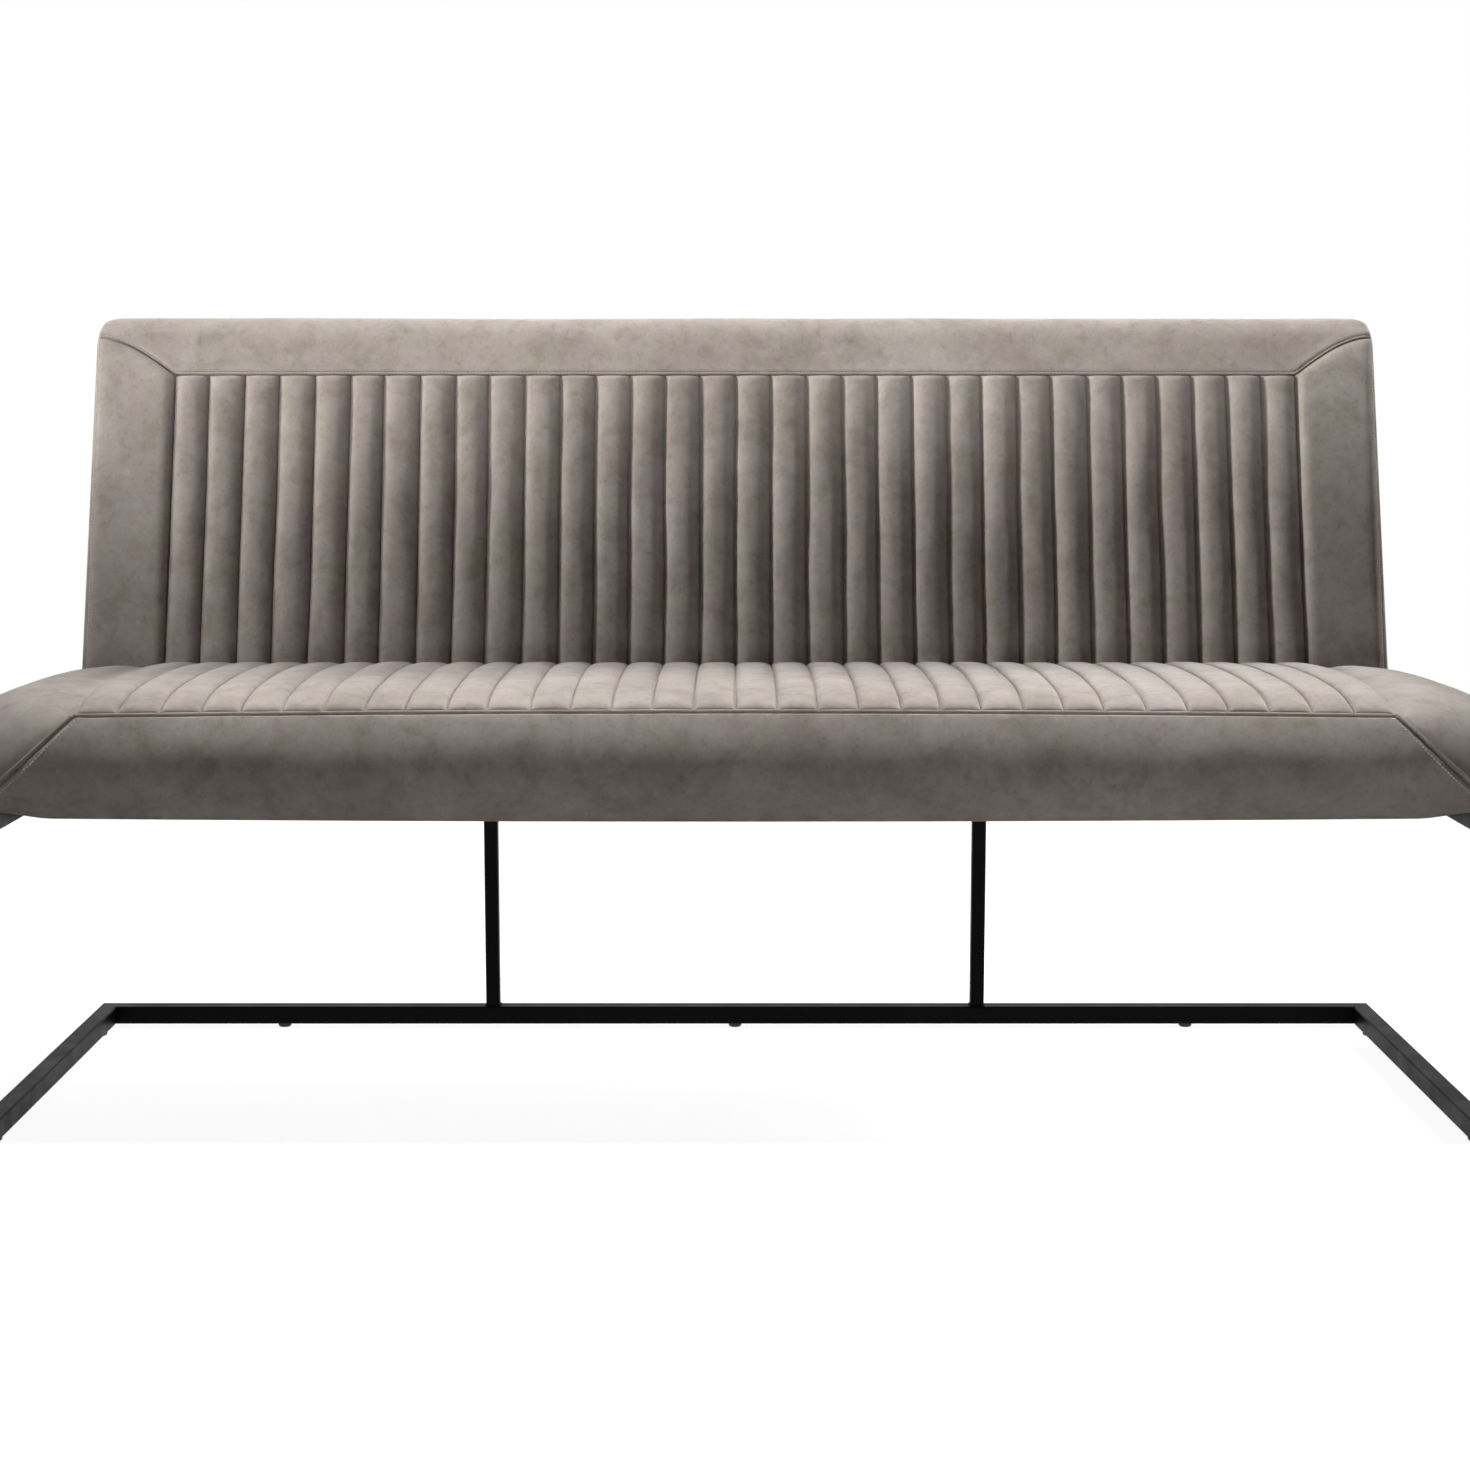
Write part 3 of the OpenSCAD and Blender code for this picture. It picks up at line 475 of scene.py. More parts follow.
def powder_coat():
    """Black powder coat: fine orange peel, cloudy sheen and a few paler rubbed places."""
    s = Shader("powder_coat")
    clouds = s.noise(22, detail=5, roughness=0.6)
    peel = s.noise(700, detail=2)
    return s.finished(
        Base_Color=s.tones(clouds, (0.3, 5, 5, 6), (0.55, 8, 8, 9), (0.8, 13, 13, 14)),
        Roughness=s.between(clouds, 0.3, 0.7, 0.36, 0.50), Normal=s.bump(peel, 0.0002, 0.4),
        Specular_IOR_Level=0.05)


def plastic():
    s = Shader("glide_plastic")
    grain = s.noise(420, roughness=0.6)
    scuff = s.noise(70, detail=4, roughness=0.7)
    return s.finished(
        Base_Color=s.tones(scuff, (0.35, 22, 22, 23), (0.75, 46, 45, 44)),
        Roughness=s.between(scuff, 0.3, 0.7, 0.42, 0.62), Normal=s.bump(grain, 0.0002, 0.4))


def plywood():
    """Birch: long grain along X with darker pores."""
    s = Shader("birch_ply")
    grain = s.noise(10, detail=5, roughness=0.6, distortion=0.5, vector=s.scaled(1.2, 14, 14))
    pores = s.noise(60, detail=2, roughness=0.7, vector=s.scaled(2, 30, 30))
    tone = s.tones(grain, (0.3, 176, 142, 100), (0.5, 205, 174, 130), (0.7, 219, 192, 150))
    dark = s.tones(pores, (0.3, 170, 150, 130), (0.5, 255, 255, 255))
    return s.finished(Base_Color=s.times(tone, dark, 0.7), Roughness=0.62,
                      Normal=s.bump(grain, 0.0006, 0.5))


def zinc():
    s = Shader("zinc_plate")
    clouds = s.noise(160, detail=4, roughness=0.6)
    return s.finished(
        Base_Color=s.tones(clouds, (0.3, 150, 152, 156), (0.7, 196, 197, 200)), Metallic=1.0,
        Roughness=s.between(clouds, 0.3, 0.7, 0.26, 0.44), Normal=s.bump(clouds, 0.0001, 0.4))


def dust_cloth():
    """Black spun-bonded cloth with its pressed dots and loose fibres."""
    s = Shader("spun_cloth")
    cells = s.node("TexVoronoi", Vector=s.place, Scale=620).outputs["Distance"]
    fibres = s.noise(300, detail=5, roughness=0.75, vector=s.scaled(1, 2.5, 1))
    return s.finished(
        Base_Color=s.tones(fibres, (0.3, 20, 20, 21), (0.7, 48, 47, 47)), Roughness=0.9,
        Normal=s.bump(cells, 0.0002, 0.6), Sheen_Weight=0.1)


def thread():
    s = Shader("sewing_thread")
    twist = s.noise(1500, detail=1, vector=s.scaled(1, 3, 3))
    return s.finished(
        Base_Color=s.tones(twist, (0.3, 168, 158, 149), (0.7, 206, 197, 188)), Roughness=0.7,
        Normal=s.bump(twist, 0.0002, 0.5), Sheen_Weight=0.2)


SUEDE = suede()
THREAD = thread()
SLOT_MATERIALS = {
    "powder_steel": powder_coat(), "glide_plastic": plastic(), "board_ply": plywood(),
    "zinc_steel": zinc(), "dust_cloth": dust_cloth(), "cushion_foam": SUEDE, "quilted_suede": SUEDE,
    "plain_suede": SUEDE}


# Seat cover, as seams: the channels stand up from this surface
def cover_z(y):
    t = np.clip((CROWN_D - y) / (CROWN_D - FRONT_BULGE), 0, None)
    front = CROWN_DROP * (SOFT_DROP_SHARE * t ** 2 + (1 - SOFT_DROP_SHARE) * t ** 5)
    r = np.clip((y - CROWN_D) / (SEAT_REAR_TOP - CROWN_D), 0, None)
    return SEAM_TOP - front - REAR_DROP * r ** 2


def arch_z(y, share):
    """The cover also falls towards the ends of the front seam, where share is 1."""
    near = np.clip((CROWN_D - y) / (CROWN_D - FRONT_BULGE), 0, 1)
    return cover_z(y) - FRONT_ARCH * (share * near) ** 2


def face_y(z, top):
    return FRONT_BULGE * ((z - BULGE_Z) / (top - BULGE_Z)) ** 2


def corner_turn(x):
    past = np.clip(np.abs(x) - SEAT_HALF + CORNER_R, 0, CORNER_R)
    return CORNER_R - np.sqrt(CORNER_R ** 2 - past ** 2)


def lip_z(x):
    fade = smooth((INNER_HALF - GAP - np.abs(x)) / LIP_RUN)
    return SEAT_BASE - LIP_HANG * (1 - LIP_FLAT_SHARE * (x / INNER_HALF) ** 2) * fade


def face_point(v, share):
    """Front border: v runs from the seam down to the lip, share runs across to the mitres."""
    x = share * (PANEL_HALF + BORDER_W * v)
    top = SEAM_Z - FRONT_ARCH * share ** 2
    z = mix(top, lip_z(x), v)
    return np.stack([x, face_y(z, top) + corner_turn(x), z], axis=-1)


def side_line(v, y):
    """Side border: v runs from the seam over the shoulder and down to the base."""
    a = np.pi / 2 * np.clip(v / SHOULDER_SHARE, 0, 1)
    t = np.clip((v - SHOULDER_SHARE) / (1 - SHOULDER_SHARE), 0, 1)
    out = np.sin(a) ** ROUNDNESS
    over_x = PANEL_HALF + (SEAT_HALF - PANEL_HALF) * out
    top = arch_z(y, 1) - END_SLOPE
    over_z = mix(SHOULDER_Z, top, np.clip(np.cos(a), 0, 1) ** ROUNDNESS) + END_SLOPE * (1 - out)
    upper = v < SHOULDER_SHARE
    return (np.where(upper, over_x, SEAT_HALF - SIDE_TUCK * t * t),
            np.where(upper, over_z, mix(SHOULDER_Z, SEAT_BASE, t)))


def corner_point(v, t):
    """The corner between the mitre seam and the side."""
    m = face_point(v, np.ones_like(v))
    sx, sz = side_line(v, np.full_like(v, CORNER_Y))
    y = mix(m[..., 1], CORNER_Y, 1 - np.cos(np.pi / 2 * t))
    fall = mix(arch_z(m[..., 1], 1) - m[..., 2], arch_z(CORNER_Y, 1) - sz, smooth(t))
    return np.stack([mix(m[..., 0], sx, np.sin(np.pi / 2 * t)), y, arch_z(y, 1) - fall], axis=-1)


# Channels
CHANNEL_SHARES = np.array([
    0, 0.02, 0.05, 0.09, 0.14, 0.20, 0.28, 0.36, 0.45, 0.55, 0.64, 0.72, 0.80, 0.86, 0.91, 0.95, 0.98])
COARSE_SHARES = np.arange(8) / 8
SEAM_SINK_SEAT = 0.0008
SEAM_SINK_BACK = 0.0032
SEAM_JITTER = 0.0008
SEAM_WOBBLE = 0.0007
SEAM_WAVE = 0.11
SIM_SHARE = 0.10
CALM_PASSES = 14
NO_PULL = 1e-9


def channel_columns(shares):
    """Places across the panel in channels: the seam's number plus a share of the channel."""
    return np.append((np.arange(CHANNELS)[:, None] + shares).ravel(), CHANNELS)


def seam_places(seed, along):
    """X of every seam at each place along it, with the sewing's uneven pitch and wobble."""
    x = np.linspace(-PANEL_HALF, PANEL_HALF, CHANNELS + 1)
    x[1:-1] += np.random.default_rng(seed).normal(0, SEAM_JITTER, CHANNELS - 1)
    wobble = np.stack([wander(seed + k, along, SEAM_WAVE) for k in range(CHANNELS + 1)], axis=1)
    wobble[:, [0, -1]] = 0
    return x + SEAM_WOBBLE * wobble


def channel_grid(seed, along, columns):
    """X, share of the channel and distance from the nearer seam for each row and column."""
    seams = seam_places(seed, along)
    k = np.minimum(columns.astype(int), CHANNELS - 1)
    share = columns - k
    x = mix(seams[:, k], seams[:, k + 1], share)
    width = seams[:, k + 1] - seams[:, k]
    return x, share, np.minimum(share, 1 - share) * width


def channel_height(seed, along, columns, height):
    """Crest height by channel and along it."""
    each = 1 + 0.04 * np.random.default_rng(seed + 500).normal(0, 1, CHANNELS + 1)
    k = np.minimum(columns.astype(int), CHANNELS - 1)
    slow = np.stack([wander(seed + 600 + n, along, SEAM_WAVE) for n in range(CHANNELS)], axis=1)
    return height * each[k] * (1 + 0.035 * slow[:, k])


def eased_down(field, times):
    """A field evened out along its columns."""
    field = field.copy()
    for _ in range(times):
        field[1:-1] = (field[:-2] + 2 * field[1:-1] + field[2:]) / 4
    return field


def wave_field(seed, along, spacing, lanes, ease=smooth):
    """Smooth seeded noise over a grid whose rows lie at the places `lanes` between lines of noise."""
    lines = [wander(seed + k, along, spacing) for k in range(math.ceil(lanes[-1]) + 1)]
    return np.stack([mix(lines[int(k)], lines[min(int(k) + 1, len(lines) - 1)], ease(k - int(k)))
                     for k in lanes])


class Simulated:
    """A cover on a fine grid of rows and cols, with a coarse grid for its cloth simulation."""
    pressure = 1.5
    held_rows = 0, -1
    held_step = None

    def start(self):
        return self.base(self.coarse_rows, self.coarse_cols)

    def lay(self):
        points = self.start()
        held = np.zeros(points.shape[:2], bool)
        held[list(self.held_rows)] = True
        held[:, ::self.held_step or held.shape[1] - 1] = True
        lay_cloth(self.cloth, points, held, self.pressure, self.slack)

    def pulls(self, field):
        """How far the cloth moved, read on the fine grid."""
        down = slice(None, None, 1 if self.rows[0] < self.rows[-1] else -1)
        return resampled(field[down], self.coarse_rows[down], self.coarse_cols,
                         self.rows[down], self.cols)[down]

    def build(self, moved):
        still = np.zeros((len(self.coarse_rows), len(self.coarse_cols)))
        self.dress(moved.get(self.cloth, still))


class Quilted(Simulated):
    """A panel of channels: its rows are lengths along them."""
    pressure = 4.0
    held_rows = 0,
    held_step = len(COARSE_SHARES)
    stuffing = 0

    def __init__(self, rows, length, coarse_count):
        self.rows = rows
        self.length = length
        self.cols = channel_columns(CHANNEL_SHARES)
        self.coarse_rows = np.linspace(0, length, coarse_count)
        self.coarse_cols = channel_columns(COARSE_SHARES)

    def sewn(self, rows, cols):
        """Points on the surface of the seams, height above it and distance from the nearer seam."""
        x, share, gap = channel_grid(self.seed, rows, cols)
        crest = channel_height(self.seed, rows, cols, self.channel_h + self.sink + self.stuffing)
        return self.surface(x, rows[:, None]), crest * full_round(share, *self.section) - self.sink, gap

    def start(self):
        points, relief, _ = self.sewn(self.coarse_rows, self.coarse_cols)
        return raised(points, self.head_start * relief)

    def swelling(self, field):
        """The cloth's own pulls and slack parts, without the round that every channel has."""
        field = eased_down(field, CALM_PASSES)
        own = field / max(np.percentile(field, 90), NO_PULL)
        for k in range(self.held_step):
            own[:, k::self.held_step] -= own[:, k::self.held_step].mean()
        return SIM_SHARE * self.channel_h * self.pulls(np.clip(own, -0.6, 0.6))

    def dress(self, field):
        points, relief, gap = self.sewn(self.rows, self.cols)
        relief = self.ended(relief + self.swelling(field)) + groove(gap, *self.seam)
        cover(self.piece, raised(points, relief), raised(points, -self.depth),
              (6, len(CHANNEL_SHARES)), self.nodes, "quilted_suede")


class SeatPanel(Quilted):
    """Quilted top of the seat, from the front seam over the crown to the rear."""
    piece, nodes = "seat_quilted_top", ["seat_channel_panel", "seat_foam"]
    cloth, slack, head_start, seed = "seat_panel", 0.03, 0.5, 11
    channel_h, sink, section = SEAT_CHANNEL_H, SEAM_SINK_SEAT, (3.2, 0.5)
    depth, seam = SEAT_DEPTH, (0.0010, 0.0008)

    def __init__(self):
        self.y = np.linspace(FRONT_BULGE, SEAT_REAR_TOP, 4000)
        steps = np.hypot(np.diff(self.y), np.diff(cover_z(self.y)))
        self.run = np.concatenate([[0], np.cumsum(steps)])
        near = np.array([0.0004, 0.0012, 0.0022, 0.0038, 0.0060, 0.0090, 0.0128])
        marks = np.concatenate([[0, BAND / 2, BAND], BAND + near])
        super().__init__(stepped(marks, self.run[-1], 0.0068), self.run[-1], 56)

    def surface(self, x, rows):
        y = np.interp(rows, self.run, self.y) + 0 * x
        return np.stack([x, y, arch_z(y, x / PANEL_HALF)], axis=-1)

    def ended(self, relief):
        """The channels start behind the front border's band and lie low under it."""
        past = (self.rows - BAND)[:, None]
        return relief * edge_rise(past, 0.011) - 0.0016 * (1 - smooth(past / 0.0012))


class BackPanel(Quilted):
    """Quilted front of the backrest, from its base up to the top seam."""
    piece, nodes = "backrest_quilted_front", ["backrest_channel_panel", "backrest_foam"]
    cloth, slack, head_start, seed = "back_panel", 0.04, 0.6, 211
    channel_h, sink, stuffing, section = BACK_CHANNEL_H, SEAM_SINK_BACK, 0.001, (2.5, 0.64)
    depth, seam = COVER_DEPTH, (0.0015, 0.0010)
    hidden = 0.115

    def __init__(self):
        length = (TOP_SEAM_H - GAP / 2 - BACK_BASE) / math.cos(FRONT_LEAN)
        near = np.array([0, 0.0006, 0.0014, 0.0026, 0.0042, 0.0064, 0.0092, 0.0128])
        seen = length - stepped(near, length - self.hidden, 0.0066)[::-1]
        super().__init__(np.concatenate([np.linspace(0, self.hidden, 6)[:-1], seen]), length, 58)

    def surface(self, x, rows):
        z = BACK_BASE + rows * math.cos(FRONT_LEAN) + 0 * x
        return np.stack([x, front_y(z), z], axis=-1)

    def ended(self, relief):
        """The channels die out into the top seam."""
        to_seam = (self.length - self.rows)[:, None]
        return relief * edge_rise(to_seam, 0.009) + groove(to_seam, 0.0015, 0.0012)


# Places near a topstitched seam, as distances from it, and near one with a lapped edge, whose furrow
# comes after FURROW places on the lap
NEAR_SEAM = np.array([
    0, 0.0004, 0.0009, 0.0015, 0.0020, 0.0024, 0.0027, STITCH_SET_BACK, 0.0034, 0.0039, 0.0048, 0.0064,
    0.0090, 0.0125])
NEAR_LAP = np.concatenate([
    [-BAND, -BAND + 0.0002, -BAND + 0.0005, -BAND + 0.0010, -BAND + 0.0016, -0.0026, -0.0018, -0.0012,
     -0.0007, -0.0003], NEAR_SEAM])
FURROW = 10


class FrontBorder(Simulated):
    """Plain front of the seat: lapped over the channels, down to its lip and back under the board."""
    cloth, slack = "front_border", 0.015
    swell = 0.0015
    slant = math.cos(math.radians(45))
    band_depth = 0.0022
    lip_r = 0.006
    lip_turns = 80, 60, 40, 20
    lip_reaches = 0.014, 0.026, 0.038

    def __init__(self, seat):
        self.seat = seat
        self.face = (SEAM_Z - SEAT_BASE + LIP_HANG) * 1.04
        self.rows = stepped(NEAR_LAP, self.face, 0.0062)[::-1]
        self.half = PANEL_HALF * self.slant
        across = 1 - stepped(NEAR_LAP, self.half, 0.0060) / self.half
        self.cols = np.concatenate([-across[:-1], [0], across[:-1][::-1]])
        self.coarse_rows = np.linspace(self.face, 0, 15)
        self.coarse_cols = np.linspace(-1, 1, 161)

    def base(self, rows, cols):
        """Rows are lengths down from the furrow, and negative on the seat's top."""
        down, share = np.meshgrid(rows, cols, indexing="ij")
        points = face_point(np.clip(down, 0, None) / self.face, share)
        y = np.interp(-down, self.seat.run, self.seat.y)
        over = np.stack([share * PANEL_HALF, y, arch_z(y, np.clip(np.abs(share), 0, 1))], axis=-1)
        return np.where((down < 0)[..., None], over, points)

    def dress(self, field):
        points = self.base(self.rows, self.cols)
        down = self.rows[:, None]
        v = down / self.face
        nearest = np.minimum(down, (1 - np.abs(self.cols)) * self.half)
        pulls = self.pulls(field)
        pulls = 0.35 * np.clip(pulls - pulls.mean(), -0.003, 0.003)
        relief = (self.swell * edge_rise(nearest, 0.03) * (1 - smooth((v - 0.8) / 0.2))
                  + pulls * edge_rise(nearest, 0.02) * (1 - 0.5 * smooth((v - 0.85) / 0.15))
                  + lapped_edge(nearest))
        depth = np.where(nearest < 0, self.band_depth, COVER_DEPTH)
        self.skin, lining = self.with_lip(raised(points, relief), raised(points, -depth))
        cover("seat_front_cover", self.skin, lining, (5, 8), ["seat_front_border"])

    def with_lip(self, skin, lining):
        """Adds rows that roll the lower edge under and back to the board."""
        edge = skin[0]
        fade = smooth((INNER_HALF - GAP - np.abs(edge[:, 0])) / LIP_RUN)[:, None]
        under, inside = [], []
        for turn in np.radians(self.lip_turns):
            roll = self.lip_r * np.array([0, 1 - math.sin(turn), -0.35 * math.cos(turn)])
            under.append(edge + roll * mix(0.2, 1, fade))
            inside.append(under[-1] + [0, 0.001, 0.004])
        for reach in self.lip_reaches:
            flat = edge + [0, reach, 0]
            level = mix(edge[:, 2], RAIL_TOP - 0.0005, smooth(reach / 0.036))
            flat[:, 2] = np.where(fade[:, 0] > 0, level, edge[:, 2])
            under.append(flat)
            inside.append(flat + [0, 0, 0.0012])
        return np.concatenate([under[::-1], skin]), np.concatenate([inside[::-1], lining])


class SideBorder(Simulated):
    """Plain side of the seat, from the mitre seam round the corner to the rear."""
    cloth, slack = "side_border", 0.012
    length = 0.24

    def __init__(self):
        near = NEAR_SEAM[[0, 1, 2, 4, 7, 10, 12, 13]]
        self.rows = (stepped(near, self.length, 0.0070) / self.length)[::-1]
        corner = stepped(np.array([0, 0.006, 0.014, 0.028, 0.05]), 1, 0.055)
        self.cols = np.concatenate([corner, np.linspace(1, 2, 46)[1:]])
        self.coarse_rows = np.linspace(1, 0, 26)
        self.coarse_cols = np.linspace(0, 2, 50)

    def base(self, rows, cols):
        v, c = np.meshgrid(rows, cols, indexing="ij")
        corner = corner_point(v, np.clip(c, 0, 1))
        y = mix(CORNER_Y, SEAT_REAR_TOP, np.clip(c - 1, 0, 1))
        sx, sz = side_line(v, y)
        lean = smooth((c - 1.6) / 0.4)
        straight = np.stack([sx, y + lean * (rear_y(sz) - SEAT_REAR_TOP), sz], axis=-1)
        return np.where((c < 1)[..., None], corner, straight)

    def dress(self, field):
        points = self.base(self.rows, self.cols)
        mitre = face_point(np.linspace(0, 1, 160), np.ones(160))
        apart = np.linalg.norm(points[:, :, None] - mitre, axis=-1).min(axis=-1)
        inner = self.rows[:, None] * self.length
        shoulder = edge_rise(inner, 0.010) * (1 - smooth((inner - 0.018) / 0.040))
        relief = (groove(inner) - 0.0018 * (1 - smooth((apart - BAND) / 0.0015))
                  + 0.0042 * shoulder * smooth((apart - 0.02) / 0.06)
                  + 0.35 * np.clip(self.pulls(field), -0.003, 0.004))
        lining = raised(points, -SEAT_DEPTH)
        lining[..., 2] = np.maximum(lining[..., 2], SEAT_BASE)
        cover_pair("seat_side_cover", raised(points, relief), lining, (5, 6), "seat_side_border")


def end_fall(x):
    """The top falls gently and then round a tight corner at its ends."""
    from_end = BACK_HALF - np.abs(x)
    t = np.clip(1 - from_end / CORNER_RUN, 0, 1)
    return (CORNER_FALL * (1 - np.sqrt(1 - t ** 2))
            + DROOP_FALL * np.clip(1 - from_end / DROOP_RUN, 0, 1) ** 2)


def height_share(z):
    return np.clip((z - BACK_BASE) / (MITRE_Z - BACK_BASE), 0, 1)


def end_share(x):
    """0 at the outermost channel's seam and 1 at the backrest's end."""
    return (np.abs(x) - PANEL_HALF) / (BACK_HALF - PANEL_HALF)


def drawn_in(points):
    """The side seams stand a little further in at the seat than at the top."""
    out = points.copy()
    beyond = np.clip(end_share(points[..., 0]), 0, None)
    out[..., 0] -= np.sign(points[..., 0]) * beyond * mix(*END_TAPER, height_share(points[..., 2]))
    return out


def around_top(x, a):
    turn = (a - FRONT_LEAN) / (math.pi + REAR_LEAN - FRONT_LEAN)
    fall = end_fall(x)
    return np.stack([x + 0 * a, ARC_Y - ARC_R * np.cos(a) - fall * mix(LEAN_RUN, REAR_RUN, turn),
                     ARC_Z + ARC_R * np.sin(a) - fall], axis=-1)


def flat_run(x):
    """Length of the front plane above the top seam's height, before it turns over the top."""
    return TOP_FLAT - end_fall(x) / math.cos(FRONT_LEAN)


def mitre_run(x):
    """Where the top border starts: at the top seam, and climbing from the last channel outwards."""
    t = np.clip(end_share(x), 0, 1)
    return (flat_run(BACK_HALF) + MITRE_CLIMB) * np.sin(np.pi / 2 * t) ** 1.04


def climbing(x, run):
    """A point at a length up the front plane from the top seam's height, and on over the top."""
    x = x + 0 * run
    z = TOP_SEAM_H + run * math.cos(FRONT_LEAN)
    flat = np.stack([x, front_y(z), z], axis=-1)
    past = np.clip(run - flat_run(x), 0, None)
    return np.where((past > 0)[..., None], around_top(x, FRONT_LEAN + past / ARC_R), flat)


def top_border():
    """Plain border along the backrest's top, from the top seam over the edge to the rear seam."""
    ends = BACK_HALF - GAP / 2 - np.array([0, 0.0008, 0.002, 0.004, 0.0065, 0.010, 0.0145, 0.020])
    right = np.concatenate([
        np.linspace(0, PANEL_HALF, 112), np.linspace(PANEL_HALF, ends[-1], 26)[1:], ends[:-1][::-1]])
    x = np.concatenate([-right[:0:-1], right])
    whole = flat_run(x) + ARC_R * (math.pi + REAR_LEAN - FRONT_LEAN) - mitre_run(x)
    near = NEAR_SEAM[:, None] + 0 * whole
    runs = np.concatenate([near, mix(near[-1], whole, np.linspace(0, 1, 33)[1:, None])])
    points = climbing(x[None, :], mitre_run(x) + GAP / 2 + runs)
    to_seam = runs / np.sqrt(1 + np.gradient(mitre_run(x), x) ** 2)
    to_rear = whole - runs
    to_end = BACK_HALF - np.abs(x) + 0 * runs
    wave = wave_field(700, x, 0.11, np.linspace(0, 2, len(runs)), ease=float)
    relief = (0.0022 * edge_rise(to_seam, 0.02) * smooth(to_rear / 0.08)
              + 0.0007 * wave * edge_rise(np.minimum(to_seam, to_end), 0.03)
              + stitched_edge(to_seam) + groove(to_end, 0.0022, 0.002) + groove(to_rear, 0.0015, 0.002)
              - 0.0025 * (1 - edge_rise(to_end, 0.012)))
    skin = drawn_in(raised(points, relief))
    cover("backrest_top_cover", skin, drawn_in(raised(points, -COVER_DEPTH)), (5, 8),
          ["backrest_top_border"])
    return skin


class BackSide(Simulated):
    """Plain border up the side of the backrest's front, to the mitre seam."""
    cloth, slack, pressure = "back_side", 0.015, 2.5
    swell = 0.0100
    seam_round = 0.013
    edge_round = 0.014
    top_round = 0.016
    width = BACK_HALF - PANEL_HALF - GAP
    length = (TOP_SEAM_H - BACK_BASE) / math.cos(FRONT_LEAN)

    def __init__(self):
        near = NEAR_SEAM[[0, 1, 3, 5, 8, 10, 11, 12]]
        outer = NEAR_SEAM[[0, 1, 3, 4, 5, 8, 10, 11, 12]]
        half = self.width / 2
        self.cols = np.concatenate([
            stepped(near, half, 0.0045)[:-1], self.width - stepped(outer, half, 0.0045)[::-1]]) / self.width
        self.rows = (1 - stepped(near, self.length, 0.0078) / self.length)[::-1]
        self.coarse_rows = np.linspace(0, 1, 58)
        self.coarse_cols = np.linspace(0, 1, 13)

    def base(self, rows, cols):
        b, a = np.meshgrid(rows, cols, indexing="ij")
        x = mix(PANEL_HALF + GAP / 2, BACK_HALF - GAP / 2, a)
        return climbing(x, mix(-self.length, mitre_run(x) - GAP / 2, b))

    def dress(self, field):
        points = self.base(self.rows, self.cols)
        pulls = self.pulls(field)
        pulls = pulls / max(np.percentile(pulls, 95), NO_PULL)
        pulls = np.clip(pulls - pulls.mean(axis=0), -1, 1)
        inner, outer = self.cols * self.width, (1 - self.cols) * self.width
        to_top = (1 - self.rows[:, None]) * self.length
        relief = self.swell * (1 - 0.35 * self.cols ** 1.5 + 0.12 * pulls)
        relief = mix(-SEAM_SINK_BACK, relief, edge_rise(inner, self.seam_round))
        relief = mix(-SIDE_SEAM_SINK, relief, edge_rise(outer, self.edge_round))
        relief = mix(-0.0015, relief, edge_rise(to_top, self.top_round))
        relief += groove(outer, 0.0012, 0.0009) + groove(inner, 0.0015, 0.0010)
        self.skin = drawn_in(raised(points, relief))
        cover_pair("backrest_side_cover", self.skin, drawn_in(raised(points, -COVER_DEPTH)), (6, 4),
                   "backrest_side_border")


# Places of the end panel's rings, from its seam at 0 to its middle at 1
END_RINGS = 0, 0.004, 0.012, 0.025, 0.045, 0.07, 0.1, 0.14, 0.2, 0.3, 0.45, 0.6, 0.8, 0.97
END_EDGE_RUN = 0.2
END_INSET = 0.0032


def end_outline():
    """Y and Z round the end of the backrest, from the front's base over the top to the rear's base."""
    front = np.linspace(BACK_BASE, MITRE_Z - END_DROOP, 44)
    arcs = np.linspace(FRONT_LEAN, math.pi + REAR_LEAN, 26)
    top = around_top(np.full_like(arcs, BACK_HALF), arcs)[:, 1:]
    rear = np.linspace(top[-1, 1], BACK_BASE, 44)[1:]
    return np.concatenate([np.stack([front_y(front), front], axis=-1), top[1:],
                           np.stack([rear_line_y(rear), rear], axis=-1)])


def end_panels():
    """Bulging panels over the ends of the backrest."""
    outline = end_outline()
    z = np.clip(outline[:, 1], BACK_BASE + ARC_R, ARC_Z)
    middle = np.stack([(front_y(z) + rear_line_y(z)) / 2, z], axis=-1)
    edge = outline + END_INSET * unit(middle - outline)
    rings = []
    for k in END_RINGS:
        y, z = mix(edge, middle, k).T
        out = mix(*END_BULGE, height_share(z)) * edge_rise(k, END_EDGE_RUN) + groove(k, 0.0015, 0.02)
        z = np.where(outline[:, 1] <= BACK_BASE + 1e-6, BACK_BASE, z)
        rings.append(np.stack([BACK_HALF + GAP / 2 + out, y, z], axis=-1))
    rings = drawn_in(np.stack(rings))
    at = np.arange(rings[..., 0].size).reshape(rings.shape[:2])
    faces = quads(at) + [at[0].tolist(), at[-1].tolist(), at[:, 0].tolist() + at[::-1, -1].tolist()]
    for side, sign in (("right", 1), ("left", -1)):
        obj = new_piece("backrest_end_cover_" + side, placed(rings * [sign, 1, 1]), faces, "plain_suede",
                        ["backrest_end_panel_" + side])


